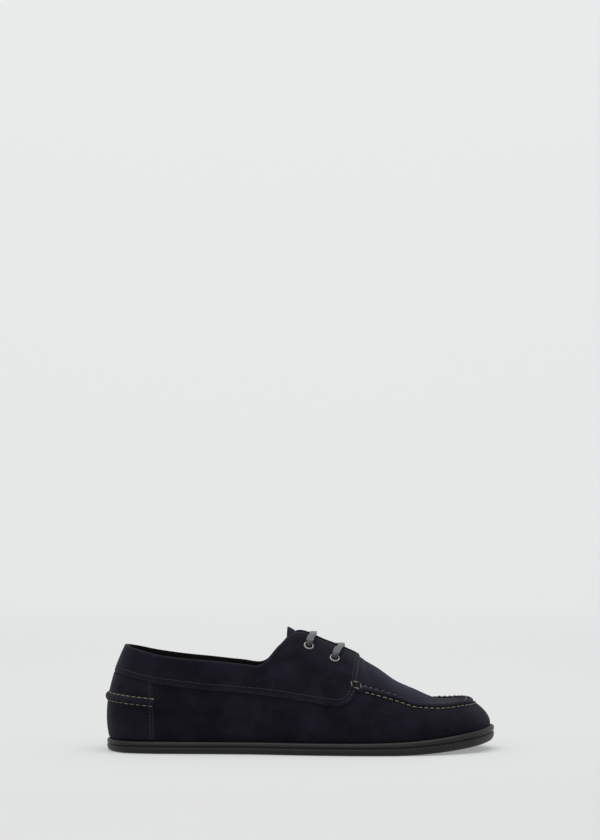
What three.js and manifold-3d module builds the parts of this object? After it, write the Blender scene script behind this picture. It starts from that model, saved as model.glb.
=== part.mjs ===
// A boat shoe for the right foot, in millimetres: +X runs from heel to toe, +Y to the inner side of the foot,
// +Z up from the floor. The upper is a hollow wall lofted through a table of sections around the last. The
// overlays, seams and tongue are raised from the same wall, so they follow it when a size changes.
import * as THREE from "three";
import { mergeVertices } from "three/addons/utils/BufferGeometryUtils.js";
import Module from "manifold-3d";

// Driving sizes
const LENGTH = 288; // outsole, heel to toe tip
const BALL_WIDTH = 102; // outsole across the ball of the foot
const COLLAR_WIDTH = 64; // opening of the collar, edge to edge
const HEEL_HEIGHT = 78; // collar at the back of the heel, above the floor
const INSTEP_HEIGHT = 86.8; // wall at the eyestays' top corners, above the floor
const TOE_HEIGHT = 39.5; // crest of the wall at the front of the apron, above the floor
const WALL = 1.8; // upper leather with its lining
const CLEARANCE = 0.4; // between pieces that touch on the real shoe

// Outsole
const SOLE_HEEL_THICKNESS = 9.2;
const SOLE_TOE_THICKNESS = 11.5;
const TOE_SPRING = 7;
const SPRING_START = 0.74; // share of the length where the sole leaves the floor
const SPRING_POWER = 1.8;
const THICKENING_START = 0.6; // share of the length where the sole starts to thicken to the toe
const SOLE_LIP = 3; // ledge of the sole outside the upper's foot
const GROOVE_DEPTH = 1.1;
const BEAD_ROUND = 1.7; // rounding of the sole's top edge
const TREAD_INSET = 4.2; // rounding of the sole's bottom edge

// Insole
const INSOLE_THICKNESS = 3;
const INSOLE_GAP = 0.5; // between the insole's edge and the wall

// Places along the shoe are shares of LENGTH from the heel, and heights are shares of the driving heights.

// Collar band with its saddles and eyestays, one overlay from one side of the slit to the other
const BAND_THICKNESS = 1.3;
const BAND_FRONT = 0.6406 * LENGTH; // front edge of the saddle at the apron seam
const BAND_LEAN = 0.17; // how far the front edge leans forward for each millimetre up
const BAND_CORNER = 13; // radius of the saddle's bottom corner

// Heel counter and the rolled strap across it
const COUNTER_THICKNESS = 1;
const COUNTER_FOOT_LENGTH = 0.1274 * LENGTH; // front edge at the sole
const COUNTER_TOP_LENGTH = 0.1205 * LENGTH; // front edge at the collar band
const COUNTER_LIFT = 1.2; // bottom edge above the wall's foot
const STRAP_WIDTH = 5;
const STRAP_HEIGHT = 2.2;
const STRAP_BACK_HEIGHT = 0.519 * HEEL_HEIGHT; // strap above the floor at the back of the heel
const STRAP_FALL = 0.085; // drop of the strap for each millimetre forward

// Apron seam with a stitched tab at each rear end
const APRON_HALF_WIDTH = 0.3824 * BALL_WIDTH;
const APRON_TIP = 0.9392 * LENGTH; // tip of the apron
const APRON_CENTRE = 0.7118 * LENGTH; // where the apron starts to narrow
const APRON_ROUND = 2.05; // exponent of the apron's outline
const SEAM_WIDTH = 4.2;
const SEAM_HEIGHT = 2.2;
const SEAM_START = 0.651 * LENGTH; // rear end of the raised seam
const SEAM_START_HEIGHT = 0.5645 * INSTEP_HEIGHT; // the same end, above the floor
const SEAM_FALL = 0.29; // drop of the seam's rear for each millimetre forward
const TAB_LENGTH = 7.8;
const TAB_WIDTH = 7;
const TAB_THICKNESS = 1.1;

// Tongue
const TONGUE_THICKNESS = 2;
const TONGUE_REAR = 0.46 * LENGTH; // top end of the tongue
const TONGUE_OVERLAP = 13; // how far the tongue runs under each eyestay
const TONGUE_FRONT = 0.684 * LENGTH; // end of the tongue under the apron
const TONGUE_BRIDGE = 9; // least half width of the tongue's free middle
const TONGUE_CROWN = 0.8; // rise of the tongue's middle above a level bridge
const TONGUE_FLARE = 6; // lift of the tongue's top end
const TONGUE_CURL = 0.7; // exponent of that lift, from the eyestays' corners back

// Eyelets and lace
const EYELET_REAR_AT = 0.519 * LENGTH;
const EYELET_REAR_DROP = 0.105 * INSTEP_HEIGHT; // below the wall at the eyestays' top corners
const EYELET_FRONT_AT = 0.585 * LENGTH;
const EYELET_FRONT_DROP = 0.2074 * INSTEP_HEIGHT;
const EYELET_FLANGE = 3.9; // outer radius
const EYELET_BORE = 2.4; // inner radius
const EYELET_BARREL = 0.5; // wall of the barrel
const EYELET_RISE = 0.9; // thickness of the flange
const LACE_REAR_LEAN = 2.5; // how far in front of its eyelets a lace bar crosses the slit
const LACE_FRONT_LEAN = 4.5;
const LACE_WIDTH = 5.4;
const LACE_THICKNESS = 1.6;
const LACE_REACH = 0.4; // gap between a lace bar and what it lies on

// The wall's sections, from the heel's back (first row) round to the toe tip (last row).
// foot: sole edge from the heel, as a share of LENGTH. outer, inner: sole edge from the axis on the outer and
// inner sides, as shares of half of BALL_WIDTH. top: wall's top edge from the heel, as a share of LENGTH.
// half: half width between the two top edges, as a share of half of COLLAR_WIDTH; under zero the sides met.
// heel, step, toe: the top edge's height as shares of HEEL_HEIGHT, INSTEP_HEIGHT and TOE_HEIGHT, added up.
// lift: height of the lower bend as a share of the wall's height. bulge, reach: how far the lower and upper
// bends stand out, as shares of half of BALL_WIDTH. drop: fall of the upper bend, as a share of the height.
const COLUMNS = "foot outer inner top half heel step toe lift bulge reach drop".split(" ");
const MET = -0.45;
const SECTIONS = [
  [0.0, 0.0, 0.0, 0.052, 0.0, 1.0, 0.0, 0.0, 0.35, 0.12, 0.176, 0.335],
  [0.012, 0.31, 0.31, 0.058, 0.31, 0.993, 0.0, 0.0, 0.36, 0.11, 0.16, 0.34],
  [0.045, 0.54, 0.53, 0.083, 0.58, 0.97, 0.0, 0.0, 0.38, 0.09, 0.12, 0.36],
  [0.104, 0.66, 0.64, 0.132, 0.78, 0.927, 0.0, 0.0, 0.4, 0.07, 0.07, 0.38],
  [0.181, 0.7, 0.66, 0.198, 0.91, 0.889, 0.0, 0.0, 0.42, 0.06, 0.05, 0.38],
  [0.264, 0.72, 0.645, 0.274, 0.97, 0.859, 0.0, 0.0, 0.42, 0.06, 0.05, 0.36],
  [0.344, 0.75, 0.64, 0.344, 0.97, 0.83, 0.0, 0.0, 0.42, 0.06, 0.07, 0.34],
  [0.406, 0.8, 0.655, 0.3975, 0.88, 0.819, 0.0, 0.0, 0.42, 0.06, 0.1, 0.3],
  [0.462, 0.86, 0.7, 0.438, 0.66, 0.4, 0.512, 0.0, 0.45, 0.06, 0.2, 0.17],
  [0.521, 0.92, 0.77, 0.49, 0.375, 0.0, 1.0, 0.0, 0.5, 0.06, 0.29, 0.09],
  [0.594, 0.97, 0.87, 0.5625, 0.34, 0.0, 0.9185, 0.0, 0.53, 0.06, 0.33, 0.07],
  [0.67, 1.0, 0.95, 0.639, 0.25, 0.0, 0.813, 0.0, 0.57, 0.055, 0.4, 0.05],
  [0.736, 0.99, 0.99, 0.6944, MET, 0.0, 0.7077, 0.0, 0.62, 0.05, 0.46, 0.03],
  [0.799, 0.94, 0.985, 0.75, MET, 0.0, 0.4055, 0.385, 0.68, 0.045, 0.44, 0.02],
  [0.854, 0.85, 0.935, 0.802, MET, 0.0, 0.1014, 0.89, 0.74, 0.045, 0.4, 0.01],
  [0.906, 0.705, 0.83, 0.8455, MET, 0.0, 0.0, 1.035, 0.76, 0.04, 0.35, 0.0],
  [0.951, 0.51, 0.675, 0.8785, MET, 0.0, 0.0, 1.01, 0.7, 0.035, 0.28, 0.0],
  [0.984, 0.23, 0.45, 0.901, MET, 0.0, 0.0, 1.0, 0.5, 0.03, 0.23, 0.0],
  [1.0, -0.12, 0.12, 0.9097, 0.0, 0.0, 0.0, 0.995, 0.4, 0.03, 0.21, 0.01],
];
// The throat of the inner side lies further forward than that of the outer side.
const THROAT_ROW = 8;
const CORNER_ROW = 9; // the eyestays' top corners
const SADDLE_ROW = 11; // the saddles' top front corners
const THROAT_SKEW = 2;
const SKEW_START = THROAT_ROW - 3;
const SKEW_END = THROAT_ROW + 2;
// The crest's drift to the inner side, as shares of half of BALL_WIDTH, along the length.
const CREST_DRIFT = 0.1;
const DRIFT_START = 0.45;
const APRON_DRIFT_START = 0.6;
const DRIFT_END = 0.95;

// The collar band's lower edge: distance from the heel and height, as shares of LENGTH and HEEL_HEIGHT.
const BAND_EDGE = [
  [0.0, 0.745],
  [0.023, 0.738],
  [0.058, 0.713],
  [0.117, 0.662],
  [0.18, 0.635],
  [0.25, 0.606],
  [0.32, 0.587],
  [0.387, 0.563],
  [0.456, 0.535],
  [0.51, 0.506],
  [0.562, 0.476],
  [0.66, 0.44],
];

// The sole's side from the tread to its top: how far it stands out, and its height as a share of the sole's.
const SOLE_SIDE = [
  [-TREAD_INSET, 0],
  [-TREAD_INSET * 0.32, 0.09],
  [-TREAD_INSET * 0.06, 0.27],
  [-GROOVE_DEPTH * 0.1, 0.52],
  [-GROOVE_DEPTH, 0.57],
  [-GROOVE_DEPTH, 0.63],
  [-GROOVE_DEPTH * 0.3, 0.68],
  [-BEAD_ROUND * 0.4, 0.93],
  [-BEAD_ROUND, 1],
];

// How finely the solids are faceted
const WALL_STEPS = 10;
const OVERLAY_STEPS = 7;
const END_ROWS = 3; // rows next to the heel and the toe with a finer step
const SADDLE_ROWS = [10, 13]; // rows with a finer step where the wall is hollow below the saddle
const FINE_STEPS = 3;
const SIDE_STEPS = 2;
const BAND_END_STEPS = 8;
const BAND_END_ROWS = 1; // rows before the band's front ends with a finer step
const COUNTER_STEPS = 20;
const STRAP_STEPS = 24;
const SEAM_STEPS = 48;
const TAB_STEPS = 3;
const TONGUE_COLUMNS = 14;
const TONGUE_ROWS = 10;
const EYELET_SIDES = 12;
const LACE_STEPS = 12;
const SMALL = 0.01; // step of the numerical slopes, in rows
const CREST_STEP = 0.25; // the same along the crest
const SEARCH_STEPS = 48;
const BISECTIONS = 30;

const LAST_ROW = SECTIONS.length - 1;
const RING = 2 * LAST_ROW;
const HALF_BALL = BALL_WIDTH / 2;
const UP = new THREE.Vector3(0, 0, 1);

const clamp = THREE.MathUtils.clamp;
const lerp = THREE.MathUtils.lerp;
const smooth = THREE.MathUtils.smoothstep;

const wasm = await Module();
wasm.setup();

// Cubic through b and c at 0 and 1, with a and d as their neighbours.
function catmullRom(a, b, c, d, t) {
  const slopeB = (c - a) / 2;
  const slopeC = (d - b) / 2;
  const t2 = t * t;
  const t3 = t2 * t;
  return (2 * b - 2 * c + slopeB + slopeC) * t3 + (3 * c - 3 * b - 2 * slopeB - slopeC) * t2 + slopeB * t + b;
}

// A table row at a ring index: rows 0 to LAST_ROW run along the outer side, the rest come back on the inner.
function ringRow(index) {
  const i = ((index % RING) + RING) % RING;
  const inner = i > LAST_ROW;
  const row = SECTIONS[inner ? RING - i : i];
  const cell = Object.fromEntries(COLUMNS.map((name, c) => [name, row[c]]));
  const side = inner ? 1 : -1;
  return { ...cell, edge: inner ? cell.inner : -cell.outer, half: side * cell.half };
}
const RING_ROWS = Array.from({ length: RING }, (_, i) => ringRow(i));

function column(name, s) {
  const k = Math.floor(s);
  const at = (i) => RING_ROWS[(((k + i) % RING) + RING) % RING][name];
  return catmullRom(at(-1), at(0), at(1), at(2), s - k);
}

// Position along the ring folded to 0..LAST_ROW, and -1 on the outer side or 1 on the inner.
function folded(s) {
  const r = ((s % RING) + RING) % RING;
  return r <= LAST_ROW ? { row: r, side: -1 } : { row: RING - r, side: 1 };
}

// Height of the floor side of the sole, of its top, and its edge in plan with the outward direction.
function springAt(x) {
  const share = clamp((x / LENGTH - SPRING_START) / (1 - SPRING_START), 0, 1.02);
  return TOE_SPRING * share ** SPRING_POWER;
}
function soleThickness(x) {
  return lerp(SOLE_HEEL_THICKNESS, SOLE_TOE_THICKNESS, smooth(x / LENGTH, THICKENING_START, 1));
}
function soleTop(x) {
  return springAt(x) + soleThickness(x);
}
function soleEdge(s) {
  return new THREE.Vector2(column("foot", s) * LENGTH, column("edge", s) * HALF_BALL);
}
function outward(s) {
  const along = soleEdge(s + SMALL).sub(soleEdge(s - SMALL)).normalize();
  return new THREE.Vector2(along.y, -along.x);
}
function soleEdgeOffset(s, out) {
  return soleEdge(s).addScaledVector(outward(s), out);
}

function crestDrift(x) {
  return CREST_DRIFT * HALF_BALL * smooth(x / LENGTH, DRIFT_START, DRIFT_END);
}

// The wall's top edge: the collar, the throat and the slit, then the crest where both sides have met.
function topEdge(s) {
  const { row, side } = folded(s);
  const nearThroat = smooth(row, SKEW_START, THROAT_ROW) * (1 - smooth(row, THROAT_ROW, SKEW_END));
  const x = column("top", s) * LENGTH + (side > 0 ? THROAT_SKEW * nearThroat : 0);
  const apart = (column("half", s) * COLLAR_WIDTH) / 2;
  const half = side < 0 ? Math.min(apart, 0) : Math.max(apart, 0);
  const rear = column("heel", s) * HEEL_HEIGHT + column("step", s) * INSTEP_HEIGHT;
  return new THREE.Vector3(x, crestDrift(x) + half, rear + column("toe", s) * TOE_HEIGHT);
}
function isMet(s) {
  const { row, side } = folded(s);
  return row > END_ROWS && column("half", s) * side <= 0;
}
function crestSlope(s) {
  const { row } = folded(s);
  const from = Math.min(row, LAST_ROW - CREST_STEP);
  const a = topEdge(from);
  const b = topEdge(from + CREST_STEP);
  return (b.z - a.z) / (b.x - a.x);
}

// A point of the wall's outside: v runs from the foot (0) to the top edge (1) along a cubic curve.
function wallPoint(s, v) {
  const out = outward(s);
  const edge = soleEdgeOffset(s, -SOLE_LIP);
  const foot = new THREE.Vector3(edge.x, edge.y, soleTop(edge.x) + CLEARANCE);
  const top = topEdge(s);
  const height = top.z - foot.z;
  const bulge = column("bulge", s) * HALF_BALL;
  const reach = column("reach", s) * HALF_BALL;
  const lower = foot.clone().add(new THREE.Vector3(out.x * bulge, out.y * bulge, column("lift", s) * height));
  const fall = crestSlope(s) * out.x * reach - column("drop", s) * height;
  const upper = top.clone().add(new THREE.Vector3(out.x * reach, out.y * reach, fall));
  return new THREE.CubicBezierCurve3(foot, lower, upper, top).getPoint(v);
}
function wallNormal(s, v) {
  if (v > 1 - SMALL && isMet(s)) return new THREE.Vector3(-crestSlope(s), 0, 1).normalize();
  const along = wallPoint(s + SMALL, v).sub(wallPoint(s - SMALL, v));
  const low = Math.max(0, v - SMALL);
  const rising = wallPoint(s, Math.min(1, v + SMALL)).sub(wallPoint(s, low));
  return along.cross(rising).normalize();
}
function skin(s, v, offset) {
  return wallPoint(s, v).addScaledVector(wallNormal(s, v), offset);
}

// Height along a section where a test of the wall's points turns from inside, at the top, to outside.
function crossing(s, inside) {
  let high = 1;
  let low = 1;
  for (let i = SEARCH_STEPS - 1; i >= 0 && inside(wallPoint(s, low)) > 0; i--) {
    high = low;
    low = i / SEARCH_STEPS;
  }
  for (let i = 0; i < BISECTIONS; i++) {
    const middle = (low + high) / 2;
    if (inside(wallPoint(s, middle)) > 0) high = middle;
    else low = middle;
  }
  return high;
}

// The ring position between two others where a rising measure reaches a value.
function solve(low, high, value, measure) {
  for (let i = 0; i < BISECTIONS; i++) {
    const middle = (low + high) / 2;
    if (measure(middle) < value) low = middle;
    else high = middle;
  }
  return (low + high) / 2;
}

function tableAt(table, x) {
  const after = table.findIndex((row) => row[0] > x);
  const next = after < 0 ? table.length - 1 : Math.max(after, 1);
  const [a, b] = [table[next - 1], table[next]];
  return lerp(a[1], b[1], clamp((x - a[0]) / (b[0] - a[0]), 0, 1));
}
function bandEdgeHeight(x) {
  return tableAt(BAND_EDGE, x / LENGTH) * HEEL_HEIGHT;
}
// Positive inside the collar band, seen from the side: above its lower edge, behind its front, and round in
// the corner.
function insideBand(p) {
  const above = p.z - bandEdgeHeight(p.x);
  const behind = BAND_FRONT + BAND_LEAN * (p.z - SEAM_START_HEIGHT) - p.x;
  if (above < BAND_CORNER && behind < BAND_CORNER) {
    return BAND_CORNER - Math.hypot(BAND_CORNER - above, BAND_CORNER - behind);
  }
  return Math.min(above, behind);
}
// Positive inside the apron: seen from above it is a superellipse in front, seen from the side its rear ends
// climb along a straight line.
function insideApron(p) {
  const above = p.z - (SEAM_START_HEIGHT - SEAM_FALL * (p.x - SEAM_START));
  const front = smooth(p.x, APRON_CENTRE, (APRON_CENTRE + APRON_TIP) / 2);
  const forward = Math.max(0, p.x - APRON_CENTRE) / (APRON_TIP - APRON_CENTRE);
  const axis = CREST_DRIFT * HALF_BALL * smooth(p.x / LENGTH, APRON_DRIFT_START, DRIFT_END);
  const across = Math.abs(p.y - axis) / APRON_HALF_WIDTH;
  const within = (APRON_HALF_WIDTH / 2) * (1 - (forward ** APRON_ROUND + across ** APRON_ROUND));
  return lerp(above, within, front);
}

// Ring positions of the facet lines, finer round the heel and the toe.
function facetLines() {
  const lines = [];
  for (let k = 0; k < LAST_ROW; k++) {
    const saddle = k >= SADDLE_ROWS[0] && k < SADDLE_ROWS[1];
    const count = saddle || k < END_ROWS || k >= LAST_ROW - END_ROWS ? FINE_STEPS : SIDE_STEPS;
    for (let i = 0; i < count; i++) lines.push(k + i / count);
  }
  lines.push(LAST_ROW);
  return [...lines, ...lines.slice(1, -1).reverse().map((s) => RING - s)];
}
const LINES = facetLines();

function geometryOf(points, faces) {
  const geometry = new THREE.BufferGeometry();
  geometry.setAttribute("position", new THREE.Float32BufferAttribute(points.flatMap((p) => p.toArray()), 3));
  geometry.setIndex(faces.flat());
  return mergeVertices(geometry, 1e-3);
}
function quad(a, b, c, d) {
  return [a, b, c, a, c, d];
}

// A closed solid of rings of points: each ring joins the next, and fans close the first and the last.
function tubeGeometry(rings) {
  const n = rings[0].length;
  const faces = [];
  rings.slice(1).forEach((_, r) => {
    for (let i = 0; i < n; i++) {
      const j = (i + 1) % n;
      faces.push(quad(r * n + i, r * n + j, (r + 1) * n + j, (r + 1) * n + i));
    }
  });
  const last = (rings.length - 1) * n;
  for (let i = 1; i < n - 1; i++) faces.push([0, i + 1, i], [last, last + i, last + i + 1]);
  return geometryOf(rings.flat(), faces);
}

// A closed solid between two loops around the shoe at several levels, capped by strips from side to side.
function slabGeometry(levels) {
  const n = LINES.length;
  const faces = [];
  levels.slice(1).forEach((_, r) => {
    for (let i = 0; i < n; i++) {
      const j = (i + 1) % n;
      faces.push(quad(r * n + i, r * n + j, (r + 1) * n + j, (r + 1) * n + i));
    }
  });
  const top = (levels.length - 1) * n;
  for (let i = 0; i < n / 2; i++) {
    const [a, b] = [i, i + 1];
    const [c, d] = [(n - b) % n, (n - a) % n];
    faces.push(quad(top + a, top + b, top + c, top + d), quad(a, d, c, b));
  }
  const kept = faces.flatMap((f) => (f.length === 6 ? [f.slice(0, 3), f.slice(3)] : [f]));
  return geometryOf(levels.flat(), kept.filter((f) => new Set(f).size === 3));
}

// A closed solid from a patch of the wall: place(a, b) gives the ring position and height of a point.
function patchGeometry(place, across, up, inner, outer) {
  const points = [];
  for (const offset of [inner, outer]) {
    for (const a of across) for (const b of up) points.push(skin(...place(a, b), offset));
  }
  return sheetGeometry(points, across.length, up.length);
}

// A closed solid from two like grids of points, the inner one first.
function sheetGeometry(points, columns, rows) {
  const layer = columns * rows;
  const at = (i, j, side) => side * layer + i * rows + j;
  const faces = [];
  for (let i = 0; i < columns - 1; i++) {
    for (let j = 0; j < rows - 1; j++) {
      faces.push(quad(at(i, j, 1), at(i + 1, j, 1), at(i + 1, j + 1, 1), at(i, j + 1, 1)));
      faces.push(quad(at(i, j, 0), at(i, j + 1, 0), at(i + 1, j + 1, 0), at(i + 1, j, 0)));
    }
    faces.push(quad(at(i, 0, 0), at(i + 1, 0, 0), at(i + 1, 0, 1), at(i, 0, 1)));
    faces.push(quad(at(i, rows - 1, 1), at(i + 1, rows - 1, 1), at(i + 1, rows - 1, 0), at(i, rows - 1, 0)));
  }
  for (let j = 0; j < rows - 1; j++) {
    faces.push(quad(at(0, j, 1), at(0, j + 1, 1), at(0, j + 1, 0), at(0, j, 0)));
    const end = columns - 1;
    faces.push(quad(at(end, j, 0), at(end, j + 1, 0), at(end, j + 1, 1), at(end, j, 1)));
  }
  return geometryOf(points, faces);
}

const steps = (count) => Array.from({ length: count + 1 }, (_, i) => i / count);

// A ridge along a line of the wall: a rounded section of a width and height, raised from the wall by base.
const RIDGE_SECTION = [
  [-0.5, 0],
  [0.5, 0],
  [0.46, 0.55],
  [0.26, 0.94],
  [-0.26, 0.94],
  [-0.46, 0.55],
];
function ridgeGeometry(places, width, height, base) {
  const points = places.map(([s, v]) => skin(s, v, base));
  const rings = places.map(([s, v], i) => {
    const [before, after] = [points[Math.max(i - 1, 0)], points[Math.min(i + 1, points.length - 1)]];
    const along = after.clone().sub(before).normalize();
    const normal = wallNormal(s, v);
    const side = along.clone().cross(normal).normalize();
    const rise = side.clone().cross(along);
    return RIDGE_SECTION.map(([x, y]) =>
      points[i].clone().addScaledVector(side, x * width).addScaledVector(rise, y * height),
    );
  });
  return tubeGeometry(rings.reverse());
}

function solidOf(geometry) {
  const plain = new THREE.BufferGeometry().setAttribute("position", geometry.getAttribute("position"));
  if (geometry.index) plain.setIndex(geometry.index);
  const merged = mergeVertices(plain, 1e-3);
  const vertProperties = new Float32Array(merged.attributes.position.array);
  const triVerts = new Uint32Array(merged.index.array);
  return new wasm.Manifold(new wasm.Mesh({ numProp: 3, vertProperties, triVerts }));
}
function geometryFrom(solid) {
  const { vertProperties, triVerts } = solid.getMesh();
  const geometry = new THREE.BufferGeometry();
  geometry.setAttribute("position", new THREE.BufferAttribute(vertProperties, 3));
  geometry.setIndex(new THREE.BufferAttribute(triVerts, 1));
  return geometry;
}
function cutBy(geometry, tools) {
  return geometryFrom(tools.reduce((solid, tool) => solid.subtract(solidOf(tool)), solidOf(geometry)));
}

// Outsole and insole
function outsoleGeometry() {
  const levels = SOLE_SIDE.map(([out, up]) =>
    LINES.map((s) => {
      const p = soleEdgeOffset(s, out);
      return new THREE.Vector3(p.x, p.y, springAt(p.x) + up * soleThickness(p.x));
    }),
  );
  return slabGeometry(levels);
}
function insoleGeometry() {
  const inset = -(SOLE_LIP + WALL + INSOLE_GAP);
  const level = (rise) =>
    LINES.map((s) => {
      const p = soleEdgeOffset(s, inset);
      return new THREE.Vector3(p.x, p.y, soleTop(p.x) + rise);
    });
  return slabGeometry([level(CLEARANCE), level(CLEARANCE + INSOLE_THICKNESS)]);
}

// The upper's wall, open at the foot, the collar, the throat and the slit
function upperGeometry() {
  const n = LINES.length;
  const rows = steps(WALL_STEPS);
  const layer = n * rows.length;
  const points = [-WALL, 0].flatMap((offset) => LINES.flatMap((s) => rows.map((v) => skin(s, v, offset))));
  const line = (i, j) => (j === WALL_STEPS && i % n > n / 2 && isMet(LINES[i % n]) ? n - (i % n) : i % n);
  const at = (i, j, side) => side * layer + line(i, j) * rows.length + j;
  const faces = [];
  for (let i = 0; i < n; i++) {
    const k = i + 1;
    for (let j = 0; j < WALL_STEPS; j++) {
      faces.push(quad(at(i, j, 1), at(k, j, 1), at(k, j + 1, 1), at(i, j + 1, 1)));
      faces.push(quad(at(i, j, 0), at(i, j + 1, 0), at(k, j + 1, 0), at(k, j, 0)));
    }
    faces.push(quad(at(i, 0, 0), at(k, 0, 0), at(k, 0, 1), at(i, 0, 1)));
    if (isMet(LINES[i]) && isMet(LINES[k % n])) continue;
    faces.push(quad(at(i, WALL_STEPS, 1), at(k, WALL_STEPS, 1), at(k, WALL_STEPS, 0), at(i, WALL_STEPS, 0)));
  }
  return geometryOf(points, faces);
}

// Collar band, saddles and eyestays
const bandTop = BAND_FRONT + BAND_LEAN * (topEdge(SADDLE_ROW).z - SEAM_START_HEIGHT);
const bandEnd = solve(LAST_ROW / 2, LAST_ROW, bandTop - BAND_THICKNESS, (s) => topEdge(s).x);
function bandGeometry() {
  const cornerStart = bandEnd - BAND_END_ROWS;
  const side = LINES.filter((s) => s > 0 && s < cornerStart);
  const ends = steps(BAND_END_STEPS).map((t) => lerp(cornerStart, bandEnd, t));
  const half = [...side, ...ends];
  const across = [...half.slice().reverse().map((s) => -s), 0, ...half];
  const place = (s, t) => [s, lerp(crossing(s, insideBand), 1, t)];
  return patchGeometry(place, across, steps(OVERLAY_STEPS), CLEARANCE, CLEARANCE + BAND_THICKNESS);
}

// Heel counter, from the sole to the band
function counterGeometry() {
  const topOf = (s) => crossing(s, (p) => insideBand(p) + 2 * CLEARANCE);
  const lift = COUNTER_LIFT / (HEEL_HEIGHT - SOLE_HEEL_THICKNESS);
  const heightOf = (s, t) => lerp(lift, topOf(s), t);
  const endOf = (t) => {
    const length = lerp(COUNTER_FOOT_LENGTH, COUNTER_TOP_LENGTH, t);
    return solve(1, LAST_ROW / 2, length, (s) => wallPoint(s, heightOf(s, t)).x);
  };
  const place = (a, t) => {
    const s = a * endOf(t);
    return [s, heightOf(s, t)];
  };
  const across = steps(COUNTER_STEPS).map((a) => 2 * a - 1);
  return patchGeometry(place, across, steps(OVERLAY_STEPS), CLEARANCE, CLEARANCE + COUNTER_THICKNESS);
}
function strapGeometry() {
  const heightAt = (s) => crossing(s, (p) => p.z - (STRAP_BACK_HEIGHT - STRAP_FALL * p.x));
  const end = solve(1, LAST_ROW / 2, COUNTER_TOP_LENGTH, (s) => wallPoint(s, heightAt(s)).x);
  const places = steps(STRAP_STEPS).map((a) => {
    const s = (2 * a - 1) * end;
    return [s, heightAt(s)];
  });
  return ridgeGeometry(places, STRAP_WIDTH, STRAP_HEIGHT, 2 * CLEARANCE + COUNTER_THICKNESS);
}

// Apron seam and its tabs
const seamAt = (s) => crossing(s, insideApron);
const seamX = (s) => wallPoint(s, seamAt(s)).x;
const seamEnd = solve(LAST_ROW / 2, LAST_ROW, SEAM_START, seamX);
function apronSeamGeometry() {
  const places = steps(SEAM_STEPS).map((a) => {
    const s = lerp(seamEnd, RING - seamEnd, a);
    return [s, seamAt(s)];
  });
  return ridgeGeometry(places, SEAM_WIDTH, SEAM_HEIGHT, CLEARANCE);
}
function tabGeometry(side) {
  const tabAt = (x) => solve(LAST_ROW / 2, LAST_ROW, x, seamX);
  const front = SEAM_START - 3 * CLEARANCE;
  const ends = [tabAt(front - TAB_LENGTH), tabAt(front)];
  const middle = (ends[0] + ends[1]) / 2;
  const wallLength = wallPoint(middle, 1).distanceTo(wallPoint(middle, 0));
  const spread = TAB_WIDTH / 2 / wallLength;
  const place = (a, b) => {
    const s = side < 0 ? lerp(ends[0], ends[1], a) : lerp(RING - ends[1], RING - ends[0], a);
    return [s, seamAt(s) + (2 * b - 1) * spread];
  };
  const base = 2 * CLEARANCE + BAND_THICKNESS;
  return patchGeometry(place, steps(TAB_STEPS), steps(TAB_STEPS), base, base + TAB_THICKNESS);
}

// The tongue follows the wall's inside under both eyestays and bridges the slit between them.
const TONGUE_EDGE = 0.45; // share of the tongue's half width that bridges the slit
function tonguePoint(s, share, offset) {
  const ringAt = (side) => (side < 0 ? s : RING - s);
  const axis = crestDrift(topEdge(s).x);
  const rimOf = (edge) => crossing(edge, (p) => TONGUE_BRIDGE - Math.abs(p.y - axis));
  if (Math.abs(share) >= TONGUE_EDGE) {
    const edge = ringAt(share);
    const rim = rimOf(edge);
    const from = wallPoint(edge, rim);
    const depth = crossing(edge, (p) => TONGUE_OVERLAP - p.distanceTo(from));
    return skin(edge, lerp(rim, depth, (Math.abs(share) - TONGUE_EDGE) / (1 - TONGUE_EDGE)), offset);
  }
  const [outer, inner] = [-1, 1].map((side) => skin(ringAt(side), rimOf(ringAt(side)), offset));
  const corner = topEdge(CORNER_ROW);
  const behind = clamp((corner.x - topEdge(s).x) / (corner.x - TONGUE_REAR), 0, 1);
  const level = s < CORNER_ROW ? corner.z : topEdge(s).z;
  const crown = isMet(s) ? 0 : TONGUE_CROWN;
  const crest = level + offset + crown + TONGUE_FLARE * behind ** TONGUE_CURL;
  const bend = (from, to) => from.clone().lerp(to, 1 / 3).setZ(from.z + (crest - from.z) / 0.75);
  const bridge = new THREE.CubicBezierCurve3(outer, bend(outer, inner), bend(inner, outer), inner);
  return bridge.getPoint((share / TONGUE_EDGE + 1) / 2);
}
function tongueGeometry() {
  const across = steps(TONGUE_COLUMNS).map((a) => 2 * a - 1);
  const rear = solve(LAST_ROW / 3, LAST_ROW / 2, TONGUE_REAR, (s) => topEdge(s).x);
  const front = solve(LAST_ROW / 2, LAST_ROW, TONGUE_FRONT, (s) => topEdge(s).x);
  const along = steps(TONGUE_ROWS).map((t) => lerp(rear, front, t));
  const top = -(WALL + 2 * CLEARANCE);
  const layer = (offset) => along.flatMap((s) => across.map((a) => tonguePoint(s, a, offset)));
  return sheetGeometry([...layer(top - TONGUE_THICKNESS), ...layer(top)], along.length, across.length);
}

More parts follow.
